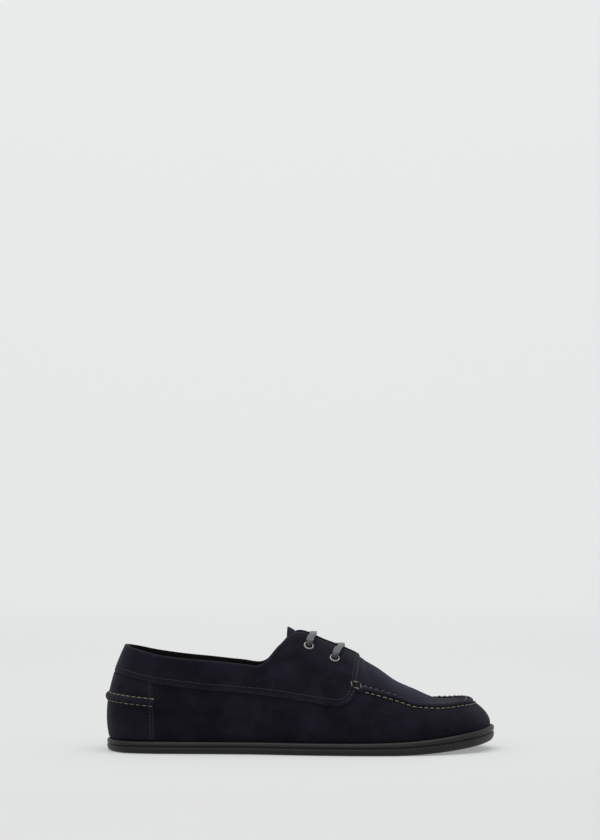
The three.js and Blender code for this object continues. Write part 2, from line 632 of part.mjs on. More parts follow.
// Eyelets: a flange on the band and a barrel through band and wall
const REAR = { at: EYELET_REAR_AT, drop: EYELET_REAR_DROP, lean: LACE_REAR_LEAN };
const FRONT = { at: EYELET_FRONT_AT, drop: EYELET_FRONT_DROP, lean: LACE_FRONT_LEAN };
const EYELETS = [
  { name: "eyelet_outer_rear", ...REAR, side: -1 },
  { name: "eyelet_outer_front", ...FRONT, side: -1 },
  { name: "eyelet_inner_rear", ...REAR, side: 1 },
  { name: "eyelet_inner_front", ...FRONT, side: 1 },
];
function eyeletPlace({ at, drop, side }) {
  const edge = (s) => (side < 0 ? s : RING - s);
  const heightAt = (s) => crossing(edge(s), (p) => p.z - (INSTEP_HEIGHT - drop));
  const s = solve(LAST_ROW / 3, LAST_ROW, at, (r) => wallPoint(edge(r), heightAt(r)).x);
  return [edge(s), heightAt(s)];
}
function eyeletFrame(eyelet) {
  const [s, v] = eyeletPlace(eyelet);
  return { seat: skin(s, v, 2 * CLEARANCE + BAND_THICKNESS), normal: wallNormal(s, v) };
}
function placed(geometry, { seat, normal }) {
  const turn = new THREE.Quaternion().setFromUnitVectors(UP, normal);
  return geometry.clone().applyQuaternion(turn).translate(seat.x, seat.y, seat.z);
}
function eyeletGeometry() {
  const barrel = EYELET_BORE + EYELET_BARREL;
  const depth = WALL + BAND_THICKNESS;
  const profile = [
    [EYELET_BORE, -depth],
    [barrel, -depth],
    [barrel, 0],
    [EYELET_FLANGE, 0],
    [EYELET_FLANGE - EYELET_BARREL, EYELET_RISE],
    [barrel, EYELET_RISE],
    [EYELET_BORE, EYELET_RISE / 2],
    [EYELET_BORE, -depth],
  ];
  const lathe = new THREE.LatheGeometry(profile.map(([r, z]) => new THREE.Vector2(r, z)), EYELET_SIDES);
  return lathe.rotateX(Math.PI / 2);
}
function eyeletHole() {
  const radius = (EYELET_BORE + EYELET_BARREL + CLEARANCE) / Math.cos(Math.PI / EYELET_SIDES);
  const length = 4 * (WALL + BAND_THICKNESS);
  return new THREE.CylinderGeometry(radius, radius, length, EYELET_SIDES).rotateX(Math.PI / 2);
}

// A lace bar: up from one eyelet, over the eyestay's edge, across the tongue and down to the other eyelet.
// It is raised over the eyelet's flange, and less towards the edge.
const LACE_RISES = [1.4, 1.3, 0.8, 0.4];
const LACE_SECTION = [
  [-0.5, -0.28],
  [-0.36, -0.5],
  [0.36, -0.5],
  [0.5, -0.28],
  [0.5, 0.28],
  [0.36, 0.5],
  [-0.36, 0.5],
  [-0.5, 0.28],
];
function laceGeometry({ at, drop, lean }) {
  const lie = CLEARANCE + BAND_THICKNESS + LACE_REACH + LACE_THICKNESS / 2;
  const climb = (side) => {
    const [s, v] = eyeletPlace({ at, drop, side });
    const over = solve(LAST_ROW / 3, LAST_ROW, at + lean, (r) => topEdge(r).x);
    const edge = side < 0 ? over : RING - over;
    return LACE_RISES.map((rise, i) =>
      skin(lerp(s, edge, i / 3), lerp(v, 1, i / 3), lie + (CLEARANCE + EYELET_RISE) * rise),
    );
  };
  const [outer, inner] = [climb(-1), climb(1)];
  const top = outer[3].clone().add(inner[3]).multiplyScalar(0.5);
  const path = new THREE.CatmullRomCurve3([...outer, top, ...inner.reverse()], false, "centripetal");
  const points = path.getSpacedPoints(LACE_STEPS);
  const forward = outer[3].clone().sub(inner[0]).cross(UP).normalize();
  const rings = points.map((p, i) => {
    const along = points[Math.min(i + 1, LACE_STEPS)].clone().sub(points[Math.max(i - 1, 0)]).normalize();
    const rise = along.clone().cross(forward).normalize();
    const side = rise.clone().cross(along);
    return LACE_SECTION.map(([x, y]) =>
      p.clone().addScaledVector(side, x * LACE_WIDTH).addScaledVector(rise, y * LACE_THICKNESS),
    );
  });
  return tubeGeometry(rings);
}

const suede = { color: 0x1e1d28, roughness: 0.95, metalness: 0 };
const materials = {
  suede: new THREE.MeshStandardMaterial(suede),
  lining: new THREE.MeshStandardMaterial({ color: 0x17161b, roughness: 0.8, metalness: 0 }),
  rubber: new THREE.MeshStandardMaterial({ color: 0x2b2b2c, roughness: 0.6, metalness: 0 }),
  lace: new THREE.MeshStandardMaterial({ color: 0x5a606c, roughness: 0.7, metalness: 0 }),
  metal: new THREE.MeshStandardMaterial({ color: 0xa8a49a, roughness: 0.3, metalness: 1 }),
};

const shoe = new THREE.Group();
function add(name, geometry, material) {
  const mesh = new THREE.Mesh(geometry, materials[material]);
  mesh.name = name;
  shoe.add(mesh);
}

const holes = EYELETS.map((eyelet) => placed(eyeletHole(), eyeletFrame(eyelet)));
add("outsole", outsoleGeometry(), "rubber");
add("insole", insoleGeometry(), "lining");
add("upper", cutBy(upperGeometry(), holes), "suede");
add("collar_band", cutBy(bandGeometry(), holes), "suede");
add("heel_counter", counterGeometry(), "suede");
add("heel_strap", strapGeometry(), "suede");
add("apron_seam", apronSeamGeometry(), "suede");
add("seam_tab_outer", tabGeometry(-1), "suede");
add("seam_tab_inner", tabGeometry(1), "suede");
add("tongue", tongueGeometry(), "suede");
for (const eyelet of EYELETS) add(eyelet.name, placed(eyeletGeometry(), eyeletFrame(eyelet)), "metal");
add("lace_rear", laceGeometry(REAR), "lace");
add("lace_front", laceGeometry(FRONT), "lace");

// The origin is on the floor under the middle of the shoe's box.
const box = new THREE.Box3().setFromObject(shoe);
const centre = box.getCenter(new THREE.Vector3());
shoe.position.set(-centre.x, -centre.y, -box.min.z);

export default shoe;
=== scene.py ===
import functools
import math
from types import SimpleNamespace

import bpy
import numpy as np
from bpy.props import FloatProperty, FloatVectorProperty, PointerProperty
from bpy.types import Operator, Panel, PropertyGroup
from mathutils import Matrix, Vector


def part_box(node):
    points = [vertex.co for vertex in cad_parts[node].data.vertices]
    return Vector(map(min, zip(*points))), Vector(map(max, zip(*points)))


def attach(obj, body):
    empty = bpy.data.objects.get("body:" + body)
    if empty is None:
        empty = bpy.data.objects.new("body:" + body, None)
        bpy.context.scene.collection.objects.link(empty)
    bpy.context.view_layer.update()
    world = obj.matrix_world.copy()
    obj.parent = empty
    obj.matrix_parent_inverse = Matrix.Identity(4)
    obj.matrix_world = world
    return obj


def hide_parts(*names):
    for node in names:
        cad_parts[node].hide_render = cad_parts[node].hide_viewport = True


bl_info = {
    "name": "Boat Shoe",
    "version": (1, 0, 0),
    "blender": (4, 5, 0),
    "location": "3D View > Sidebar > Boat Shoe",
    "description": "A suede boat shoe with its lining, seams, stitching, eyelets and lace",
    "category": "Add Mesh",
}

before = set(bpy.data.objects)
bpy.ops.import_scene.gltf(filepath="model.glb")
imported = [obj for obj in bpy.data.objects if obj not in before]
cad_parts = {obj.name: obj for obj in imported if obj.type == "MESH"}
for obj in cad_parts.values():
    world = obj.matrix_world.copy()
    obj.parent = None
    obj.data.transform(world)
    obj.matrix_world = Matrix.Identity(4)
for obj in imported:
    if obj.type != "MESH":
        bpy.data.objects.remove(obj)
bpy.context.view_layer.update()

# The shoe's sizes in millimetres. X runs from the heel to the toe, Y to the inner side of the foot and Z up.
LENGTH = 288
BALL_WIDTH = 102
COLLAR_WIDTH = 64
# How much higher the outer side's collar stands between the heel and the throat
COLLAR_RISE = 1.3
HEEL_HEIGHT = 78
INSTEP_HEIGHT = 86.8
TOE_HEIGHT = 39.5
WALL = 1.8
CLEARANCE = 0.4
HALF_BALL = BALL_WIDTH / 2

SOLE_HEEL_THICKNESS = 9.2
SOLE_TOE_THICKNESS = 11.5
TOE_SPRING = 7
SPRING_START = 0.74
SPRING_POWER = 1.8
THICKENING_START = 0.6
SOLE_LIP = 3
GROOVE_DEPTH = 1.1
INSOLE_GAP = 0.5

BAND_THICKNESS = 1.3
BAND_FRONT = 0.6406 * LENGTH
BAND_LEAN = 0.17
BAND_CORNER = 13
COUNTER_THICKNESS = 1
COUNTER_FOOT_LENGTH = 0.1274 * LENGTH
COUNTER_TOP_LENGTH = 0.1205 * LENGTH
STRAP_WIDTH = 5
STRAP_HEIGHT = 2.2
STRAP_BACK_HEIGHT = 0.519 * HEEL_HEIGHT
STRAP_FALL = 0.085

APRON_HALF_WIDTH = 0.3824 * BALL_WIDTH
APRON_TIP = 0.9392 * LENGTH
APRON_CENTRE = 0.7118 * LENGTH
APRON_ROUND = 2.05
# The apron sinks towards the toe, so its far seam shows over it
APRON_SINK = 3.0
SINK_START = 0.79 * LENGTH
SINK_FULL = 0.86 * LENGTH
SEAM_WIDTH = 4.2
SEAM_HEIGHT = 2.2
SEAM_START = 0.651 * LENGTH
SEAM_START_HEIGHT = 0.5645 * INSTEP_HEIGHT
SEAM_FALL = 0.29
TAB_LENGTH = 7.8
TAB_WIDTH = 7
TAB_THICKNESS = 1.1

TONGUE_THICKNESS = 2
TONGUE_REAR = 0.46 * LENGTH
TONGUE_FRONT = 0.684 * LENGTH
TONGUE_OVERLAP = 13
TONGUE_BRIDGE = 9
TONGUE_CROWN = 0.8
TONGUE_FLARE = 6.3
TONGUE_CURL = 0.55
TONGUE_EDGE = 0.45

# Each pair of eyelets: its place, how far under the instep it is and how far in front of it the lace crosses
REAR_EYELETS = {"at": 0.519 * LENGTH, "drop": 0.105 * INSTEP_HEIGHT, "lean": 2.5}
FRONT_EYELETS = {"at": 0.585 * LENGTH, "drop": 0.2074 * INSTEP_HEIGHT, "lean": 4.5}
LACE_WIDTH = 5.4
LACE_THICKNESS = 1.6

# Sections of the upper's wall from the heel's back to the toe tip, as shares of the sizes above
COLUMNS = "foot outer inner top half heel step toe lift bulge reach drop".split()
MET = -0.45
SECTIONS = np.array(
    [
        [0.0, 0.0, 0.0, 0.052, 0.0, 1.0, 0, 0, 0.35, 0.12, 0.176, 0.335],
        [0.012, 0.31, 0.31, 0.058, 0.31, 0.993, 0, 0, 0.36, 0.11, 0.16, 0.34],
        [0.045, 0.54, 0.53, 0.083, 0.58, 0.97, 0, 0, 0.38, 0.09, 0.12, 0.36],
        [0.104, 0.66, 0.64, 0.132, 0.78, 0.927, 0, 0, 0.4, 0.07, 0.07, 0.38],
        [0.181, 0.7, 0.66, 0.198, 0.91, 0.889, 0, 0, 0.42, 0.06, 0.05, 0.38],
        [0.264, 0.72, 0.645, 0.274, 0.97, 0.859, 0, 0, 0.42, 0.06, 0.05, 0.36],
        [0.344, 0.75, 0.64, 0.344, 0.97, 0.83, 0, 0, 0.42, 0.06, 0.07, 0.34],
        [0.406, 0.8, 0.655, 0.3975, 0.88, 0.819, 0, 0, 0.42, 0.06, 0.1, 0.3],
        [0.462, 0.86, 0.7, 0.438, 0.66, 0.4, 0.512, 0, 0.45, 0.06, 0.2, 0.17],
        [0.521, 0.92, 0.77, 0.49, 0.375, 0, 1.0, 0, 0.5, 0.06, 0.29, 0.09],
        [0.594, 0.97, 0.87, 0.5625, 0.34, 0, 0.9185, 0, 0.53, 0.06, 0.33, 0.07],
        [0.67, 1.0, 0.95, 0.639, 0.25, 0, 0.813, 0, 0.57, 0.055, 0.4, 0.05],
        [0.736, 0.99, 0.99, 0.6944, MET, 0, 0.7077, 0, 0.62, 0.05, 0.46, 0.03],
        [0.799, 0.94, 0.985, 0.75, MET, 0, 0.4055, 0.385, 0.68, 0.045, 0.44, 0.02],
        [0.854, 0.85, 0.935, 0.802, MET, 0, 0.1014, 0.89, 0.74, 0.045, 0.4, 0.01],
        [0.906, 0.705, 0.83, 0.8455, MET, 0, 0, 1.035, 0.76, 0.04, 0.35, 0.0],
        [0.951, 0.51, 0.675, 0.8785, MET, 0, 0, 1.01, 0.7, 0.035, 0.28, 0.0],
        [0.984, 0.23, 0.45, 0.901, MET, 0, 0, 1.0, 0.5, 0.03, 0.23, 0.0],
        [1.0, -0.12, 0.12, 0.9097, 0.0, 0, 0, 0.995, 0.4, 0.03, 0.21, 0.01],
    ]
)
# Rows of the throat, the saddle's rear corner and its front
THROAT_ROW = 8
SKEW_START = THROAT_ROW - 3
SKEW_END = THROAT_ROW + 2
CORNER_ROW = 9
SADDLE_ROW = 11
THROAT_SKEW = 2
CREST_DRIFT = 0.1
DRIFT_START = 0.45
APRON_DRIFT_START = 0.6
DRIFT_END = 0.95
# The crest where both sides meet is rounded over this width instead of coming to a ridge
CREST_ROUND = 5
# The band's lower edge: share of the length, share of the heel's height
BAND_EDGE = np.array(
    [
        [0.0, 0.745],
        [0.023, 0.738],
        [0.058, 0.713],
        [0.117, 0.662],
        [0.18, 0.635],
        [0.25, 0.606],
        [0.32, 0.587],
        [0.387, 0.563],
        [0.456, 0.535],
        [0.51, 0.506],
        [0.562, 0.476],
        [0.66, 0.44],
    ]
)
# Rows at each end of the ring that are closed by its turn round the heel or the toe
END_ROWS = 3
# Steps of the searches and of the slopes
SMALL = 0.01
CREST_STEP = 0.25
SEARCH_STEPS = 48
BISECTIONS = 20
LAST_ROW = len(SECTIONS) - 1
RING = 2 * LAST_ROW


# The surface of the upper, by a position round its ring of sections and a height on the section
def smooth(x, low, high):
    t = np.clip((x - low) / (high - low), 0, 1)
    return t * t * (3 - 2 * t)


def lerp(a, b, t):
    return a + (b - a) * t


def unit(v):
    return v / np.maximum(np.linalg.norm(v, axis=-1, keepdims=True), 1e-12)


def ring_values():
    values = {name: SECTIONS[:, i] for i, name in enumerate(COLUMNS)}
    rings = {name: np.concatenate([v, v[-2:0:-1]]) for name, v in values.items()}
    rings["edge"] = np.concatenate([-values["outer"], values["inner"][-2:0:-1]])
    rings["half"] = np.concatenate([-values["half"], values["half"][-2:0:-1]])
    return rings


RINGS = ring_values()


def column(name, s):
    """A column of the table of sections, smoothly between its rows."""
    values = RINGS[name]
    k = np.floor(s).astype(int)
    t = s - k
    a, b, c, d = (values[(k + i) % RING] for i in (-1, 0, 1, 2))
    p = (c - a) / 2
    q = (d - b) / 2
    return (2 * b - 2 * c + p + q) * t**3 + (3 * c - 3 * b - 2 * p - q) * t**2 + p * t + b


def row_of(s):
    r = np.mod(s, RING)
    return np.where(r <= LAST_ROW, r, RING - r)


def side_of(s):
    return np.where(np.mod(s, RING) <= LAST_ROW, -1.0, 1.0)


def spring_at(x):
    share = np.clip((x / LENGTH - SPRING_START) / (1 - SPRING_START), 0, 1.02)
    return TOE_SPRING * share**SPRING_POWER


def sole_thickness(x):
    rise = smooth(x / LENGTH, THICKENING_START, 1)
    return lerp(SOLE_HEEL_THICKNESS, SOLE_TOE_THICKNESS, rise)


def sole_top(x):
    return spring_at(x) + sole_thickness(x)


def sole_edge(s):
    return np.stack([column("foot", s) * LENGTH, column("edge", s) * HALF_BALL], -1)


def outward(s):
    along = unit(sole_edge(s + SMALL) - sole_edge(s - SMALL))
    return np.stack([along[..., 1], -along[..., 0]], -1)


def sole_edge_offset(s, out):
    return sole_edge(s) + outward(s) * np.asarray(out)[..., None]


def crest_drift(x):
    return CREST_DRIFT * HALF_BALL * smooth(x / LENGTH, DRIFT_START, DRIFT_END)


def top_edge(s):
    row, side = row_of(s), side_of(s)
    near = smooth(row, SKEW_START, THROAT_ROW) * (1 - smooth(row, THROAT_ROW, SKEW_END))
    x = column("top", s) * LENGTH + np.where(side > 0, THROAT_SKEW * near, 0)
    apart = column("half", s) * COLLAR_WIDTH / 2
    half = np.where(side < 0, np.minimum(apart, 0), np.maximum(apart, 0))
    rear = column("heel", s) * HEEL_HEIGHT + column("step", s) * INSTEP_HEIGHT
    rear = rear + COLLAR_RISE * (side < 0) * smooth(row, 3, 5.5) * (1 - smooth(row, 7.0, 7.9))
    return np.stack([x, crest_drift(x) + half, rear + column("toe", s) * TOE_HEIGHT], -1)


def top_x(s):
    return top_edge(s)[..., 0]


def gap_at(s):
    """Half width of the opening between the two top edges, under zero where they have met."""
    return column("half", s) * side_of(s) * COLLAR_WIDTH / 2


def crest_slope(s):
    start = np.minimum(row_of(s), LAST_ROW - CREST_STEP)
    a, b = top_edge(start), top_edge(start + CREST_STEP)
    return (b[..., 2] - a[..., 2]) / (b[..., 0] - a[..., 0])


def wall(s, v):
    """Points of the wall's outside, each section a Bezier curve from the sole at 0 to the top edge at 1."""
    s, v = np.broadcast_arrays(np.asarray(s, float), np.asarray(v, float))
    out = outward(s)
    edge = sole_edge_offset(s, -SOLE_LIP)
    foot = np.stack([edge[..., 0], edge[..., 1], sole_top(edge[..., 0]) + CLEARANCE], -1)
    top = top_edge(s)
    height = top[..., 2] - foot[..., 2]
    bulge = column("bulge", s) * HALF_BALL
    reach = column("reach", s) * HALF_BALL
    drop = column("drop", s) * height
    flat = np.concatenate([out, np.zeros_like(out[..., :1])], -1)
    up = np.array([0.0, 0.0, 1.0])
    lower = foot + flat * bulge[..., None] + up * (column("lift", s) * height)[..., None]
    fall = crest_slope(s) * out[..., 0] * reach - drop
    upper = top + flat * reach[..., None] + up * fall[..., None]
    t = v[..., None]
    p = foot * (1 - t) ** 3 + 3 * lower * t * (1 - t) ** 2 + 3 * upper * t**2 * (1 - t) + top * t**3
    row = row_of(s)
    tilt = drop / reach * smooth(-gap_at(s), -0.5, 3) * (row > END_ROWS) * (1 - smooth(row, 15, LAST_ROW))
    away = np.abs(p[..., 1] - crest_drift(p[..., 0]))
    p[..., 2] -= tilt * (np.hypot(away, CREST_ROUND) - away)
    return p


def normal(s, v):
    s, v = np.broadcast_arrays(np.asarray(s, float), np.asarray(v, float))
    along = wall(s + SMALL, v) - wall(s - SMALL, v)
    rising = wall(s, np.minimum(1, v + SMALL)) - wall(s, np.maximum(0, v - SMALL))
    n = unit(np.cross(along, rising))
    crest = unit(np.stack([-crest_slope(s), np.zeros_like(s), np.ones_like(s)], -1))
    closed = smooth(-gap_at(s), -0.8, 0.0) * (row_of(s) > END_ROWS)
    share = (smooth(v, 0.97, 1) * closed)[..., None]
    return unit(n * (1 - share) + crest * share)


def crossing(s, inside):
    """Height along a section where a test of the wall's points turns from inside, at the top, to outside."""
    s = np.atleast_1d(np.asarray(s, float))
    levels = np.linspace(1, 0, SEARCH_STEPS + 1)
    outside = inside(wall(s[:, None], levels[None, :])) <= 0
    first = np.where(outside.any(1), outside.argmax(1), SEARCH_STEPS)
    low = levels[first]
    high = levels[np.maximum(first - 1, 0)]
    for _ in range(BISECTIONS):
        middle = (low + high) / 2
        within = inside(wall(s, middle)) > 0
        high = np.where(within, middle, high)
        low = np.where(within, low, middle)
    return high


def solve_all(low, high, values, measure):
    """The ring positions between two others where a rising measure reaches each of several values."""
    low, high = np.full(len(values), float(low)), np.full(len(values), float(high))
    for _ in range(BISECTIONS):
        middle = (low + high) / 2
        short = measure(middle) < values
        low = np.where(short, middle, low)
        high = np.where(short, high, middle)
    return (low + high) / 2


def solve(low, high, value, measure):
    return float(solve_all(low, high, np.array([float(value)]), measure)[0])


def inside_band(p):
    """Distance inside the band's lower and front edges, under zero outside."""
    x, z = p[..., 0], p[..., 2]
    above = z - np.interp(x / LENGTH, BAND_EDGE[:, 0], BAND_EDGE[:, 1]) * HEEL_HEIGHT
    behind = BAND_FRONT + BAND_LEAN * (z - SEAM_START_HEIGHT) - x
    corner = BAND_CORNER - np.hypot(BAND_CORNER - above, BAND_CORNER - behind)
    near = (above < BAND_CORNER) & (behind < BAND_CORNER)
    return np.where(near, corner, np.minimum(above, behind))


def inside_apron(p):
    """Distance inside the apron's seam, under zero outside."""
    x, y, z = p[..., 0], p[..., 1], p[..., 2]
    above = z - (SEAM_START_HEIGHT - SEAM_FALL * (x - SEAM_START))
    front = smooth(x, APRON_CENTRE, (APRON_CENTRE + APRON_TIP) / 2)
    forward = np.maximum(0, x - APRON_CENTRE) / (APRON_TIP - APRON_CENTRE)
    axis = CREST_DRIFT * HALF_BALL * smooth(x / LENGTH, APRON_DRIFT_START, DRIFT_END)
    across = np.abs(y - axis) / APRON_HALF_WIDTH
    within = APRON_HALF_WIDTH / 2 * (1 - (forward**APRON_ROUND + across**APRON_ROUND))
    return lerp(above, within, front)


def wall_length(s):
    """Length of a section along the wall, for steps in millimetres."""
    p = wall(np.asarray(s)[..., None], np.linspace(0, 1, 25))
    return np.linalg.norm(np.diff(p, axis=-2), axis=-1).sum(-1)


# Soft troughs and ridges of the worn leather, placed in a side view: start x, z, end x, z, side,
# width, depth. Side is -1 on the outer half and 1 on the inner.
CREASES = (
    (136, 63, 146, 52, -1, 3.2, 0.35),
    (128, 57, 137, 45, -1, 4.0, 0.3),
    (146, 52, 158, 47, -1, 3.5, 0.25),
    (120, 60, 112, 50, -1, 5.0, 0.3),
    (190, 43, 200, 24, -1, 6.5, 0.4),
    (203, 40, 214, 22, -1, 6.0, 0.35),
    (224, 33, 232, 21, -1, 5.0, 0.28),
    (76, 40, 92, 28, -1, 9.0, 0.35),
    (60, 30, 74, 20, -1, 6.0, 0.22),
    (120, 36, 142, 24, -1, 10.0, 0.4),
    (38, 54, 52, 60, -1, 5.0, 0.25),
    (138, 62, 148, 50, 1, 3.4, 0.35),
    (124, 56, 134, 44, 1, 4.2, 0.3),
    (192, 42, 203, 22, 1, 6.5, 0.4),
    (208, 38, 217, 20, 1, 5.5, 0.3),
    (80, 42, 98, 26, 1, 9.0, 0.4),
    (112, 34, 136, 22, 1, 9.0, 0.4),
)
# The same across the top of the apron: x on the axis, lean, half width, width, depth
APRON_CREASES = (
    (214, -3, 24, 6.0, 0.2),
    (229, 3, 22, 6.5, 0.16),
)
# Shallow dents and swells: x, y side, z, radius, height
SWELLS = (
    (98, -1, 34, 15, -0.45),
    (156, -1, 30, 15, 0.4),
    (176, -1, 33, 10, -0.35),
    (214, -1, 30, 13, 0.4),
    (248, -1, 26, 10, -0.3),
    (54, -1, 42, 12, 0.3),
    (24, -1, 26, 10, -0.25),
    (104, 1, 36, 15, -0.5),
    (150, 1, 28, 14, 0.4),
    (206, 1, 32, 13, 0.35),
    (50, 1, 40, 12, 0.3),
)


def trough(across, width):
    """A soft trough with a low ridge on either side of it, as a share of its depth."""
    ridge = np.exp(-(((np.abs(across) - 2 * width) / width) ** 2))
    return np.exp(-((across / width) ** 2)) - 0.45 * ridge


def relief(p):
    """How far the worn leather stands out from the smooth wall at its points, in millimetres."""
    depth = bpy.context.scene.boat_shoe.crease_depth
    x, y, z = p[..., 0], p[..., 1], p[..., 2]
    height = np.zeros_like(x)
    on_side = smooth(np.abs(y - crest_drift(x)), 6, 16)
    for x0, z0, x1, z1, side, width, deep in CREASES:
        dx, dz = x1 - x0, z1 - z0
        length = math.hypot(dx, dz)
        along = ((x - x0) * dx + (z - z0) * dz) / length
        across = ((x - x0) * dz - (z - z0) * dx) / length
        fade = smooth(along, -0.35 * length, 0.25 * length) * (1 - smooth(along, 0.6 * length, 1.4 * length))
        here = np.where(y * side >= 0, on_side, 0)
        height -= deep * trough(across, width) * fade * here
    for x0, lean, half, width, deep in APRON_CREASES:
        off = y - crest_drift(x)
        across = x - x0 - lean * off / half - 2.5 * (off / half) ** 2
        sides = 1 - smooth(np.abs(off), 0.4 * half, half)
        height -= deep * trough(across, width) * sides * smooth(z, 30, 36)
    for x0, side, z0, radius, rise in SWELLS:
        near = np.exp(-((x - x0) ** 2 + (z - z0) ** 2) / radius**2)
        height += rise * near * np.where(y * side >= 0, on_side, 0)
    height -= APRON_SINK * smooth(x, SINK_START, SINK_FULL) * smooth(inside_apron(p), 1.5, 10)
    return depth * height


def skin(s, v, offset):
    """Points off the wall by an offset and by the leather's relief."""
    p = wall(s, v)
    return p + normal(s, v) * (np.asarray(offset) + relief(p))[..., None]


def beyond(s, reach, offset):
    """Points past the wall's top edge, in line with it."""
    s = np.asarray(s, float)
    top, below = wall(s, np.ones_like(s)), wall(s, np.full_like(s, 0.985))
    n = normal(s, np.ones_like(s))
    off = np.asarray(offset) + relief(top)
    return top + unit(top - below) * np.asarray(reach)[..., None] + n * off[..., None]


def run_of(points):
    """Length along a line of points, at each point."""
    return np.concatenate([[0], np.cumsum(np.linalg.norm(np.diff(points, axis=0), axis=1))])


def even_steps(points, values, step):
    """Values along a line of points at even distances, both ends kept."""
    length = run_of(points)
    count = max(1, round(length[-1] / step))
    return np.interp(np.linspace(0, length[-1], count + 1), length, values)


def ring_columns(step):
    """Ring positions at even distances along the sole, alike on both sides."""
    s = np.linspace(0, LAST_ROW, 3001)
    outer, inner = sole_edge(s), sole_edge(RING - s)
    mean = np.concatenate([outer, inner * [1, -1]], 1) / math.sqrt(2)
    half = even_steps(mean, s, step)
    meet = solve(SADDLE_ROW, SADDLE_ROW + 1, 0, lambda r: -gap_at(r))
    half[np.argmin(np.abs(half - meet))] = meet
    return np.concatenate([half, RING - half[-2:0:-1]])


def grid_faces(columns, rows, start=0, closed=False):
    """Quads of a grid of points, row by row within each column."""
    i = np.arange(columns if closed else columns - 1)[:, None]
    j = np.arange(rows - 1)[None, :]
    k = (i + 1) % columns
    quads = np.stack([i * rows + j, k * rows + j, k * rows + j + 1, i * rows + j + 1], -1)
    return quads.reshape(-1, 4) + start


def loop_faces(count, rings, start=0):
    """Quads of closed rings of points, one ring after the other."""
    r = np.arange(rings - 1)[:, None]
    i = np.arange(count)[None, :]
    k = (i + 1) % count
    quads = np.stack([r * count + i, r * count + k, (r + 1) * count + k, (r + 1) * count + i], -1)
    return quads.reshape(-1, 4) + start


# The frame's origin in the shoe's own millimetres, set once the frame is loaded
ORIGIN = np.zeros(3)
WELD = 0.002


def find_origin():
    """Sets the origin by the part's outsole, whose box is the box of the sole's edge."""
    s = np.linspace(0, RING, 20 * RING, endpoint=False)
    edge = sole_edge_offset(s, np.full_like(s, -0.1 * GROOVE_DEPTH))
    low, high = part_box("outsole")
    centre = [(low[i] + high[i]) * 500 for i in (0, 1)]
    middle = (edge.min(0) + edge.max(0)) / 2
    ORIGIN[:2] = middle - centre
    ORIGIN[0] = edge[:, 0].min() - low[0] * 1000


def make_mesh(name, points, quads, marks=(), values=None, even=True):
    """A mesh object from points in millimetres, with doubles merged and numbers on its points."""
    points = np.asarray(points, float).reshape(-1, 3)
    quads = np.asarray(quads)
    grid = np.round(points / WELD).astype(np.int64)
    _, first, index = np.unique(grid, axis=0, return_index=True, return_inverse=True)
    index = index.reshape(-1)
    quads = index[quads]
    points = points[first]
    a, b, c, d = quads.T
    four = (a != b) & (b != c) & (c != d) & (d != a) & (a != c) & (b != d)
    corners = quads[four].tolist()
    for face in quads[~four].tolist():
        kept = [p for i, p in enumerate(face) if p != face[i - 1]]
        if len(set(kept)) == 3 and len(kept) == 3:
            corners.append(kept)
    mesh = bpy.data.meshes.new(name)
    mesh.from_pydata(((points - ORIGIN) / 1000).tolist(), [], corners)
    tri = np.array([[f[0], f[i], f[i + 1]] for f in corners for i in range(1, len(f) - 1)])
    volume = np.einsum("ij,ij->i", points[tri[:, 0]], np.cross(points[tri[:, 1]], points[tri[:, 2]])).sum()
    if volume < 0:
        mesh.flip_normals()
    mesh.polygons.foreach_set("use_smooth", np.full(len(mesh.polygons), even))
    for label, number in (values or {}).items():
        attribute = mesh.attributes.new(label, "FLOAT", "POINT")
        attribute.data.foreach_set("value", np.asarray(number, float).reshape(-1)[first])
    mesh.update()
    thing = bpy.data.objects.new(name, mesh)
    bpy.context.scene.collection.objects.link(thing)
    mark_points(thing, marks)
    return thing


def mark_points(thing, marks):
    """Numbers on a mesh's points that its material reads, each worked out from the point's place."""
    mesh = thing.data
    co = np.empty(len(mesh.vertices) * 3)
    mesh.vertices.foreach_get("co", co)
    p = co.reshape(-1, 3) * 1000 + ORIGIN
    for label, work in marks:
        attribute = mesh.attributes.get(label) or mesh.attributes.new(label, "FLOAT", "POINT")
        attribute.data.foreach_set("value", work(p).astype(float))


def finish_piece(thing, material, slot, *nodes):
    """Gives a piece its material and its body, and hides the nodes that it stands for."""
    thing.data.materials.clear()
    thing.data.materials.append(material)
    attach(thing, "root")
    if nodes:
        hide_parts(*nodes)
    return thing


def shell(name, outer, inner, marks=(), values=None):
    """A closed sheet between two like grids of points."""
    columns, rows = outer.shape[:2]
    layer = columns * rows
    quads = [grid_faces(columns, rows), grid_faces(columns, rows, layer)[:, ::-1]]
    i, j = np.arange(columns - 1), np.arange(rows - 1)
    for r in (0, rows - 1):
        a, b = i * rows + r, (i + 1) * rows + r
        rim = np.stack([a, a + layer, b + layer, b], -1)
        quads.append(rim if r == 0 else rim[:, ::-1])
    for c in (0, columns - 1):
        a, b = c * rows + j, c * rows + j + 1
        rim = np.stack([a, b, b + layer, a + layer], -1)
        quads.append(rim if c == 0 else rim[:, ::-1])
    points = np.concatenate([outer.reshape(-1, 3), inner.reshape(-1, 3)])
    return make_mesh(name, points, np.concatenate(quads), marks, values)


def both(values):
    """Numbers for both grids of a shell."""
    return np.concatenate([values.reshape(-1)] * 2)


def rounded(distance, radius, power=2.4):
    """Share of the full thickness at a distance from a rounded edge."""
    t = 1 - np.clip(np.asarray(distance) / radius, 0, 1)
    return (1 - t**power) ** (1 / power)


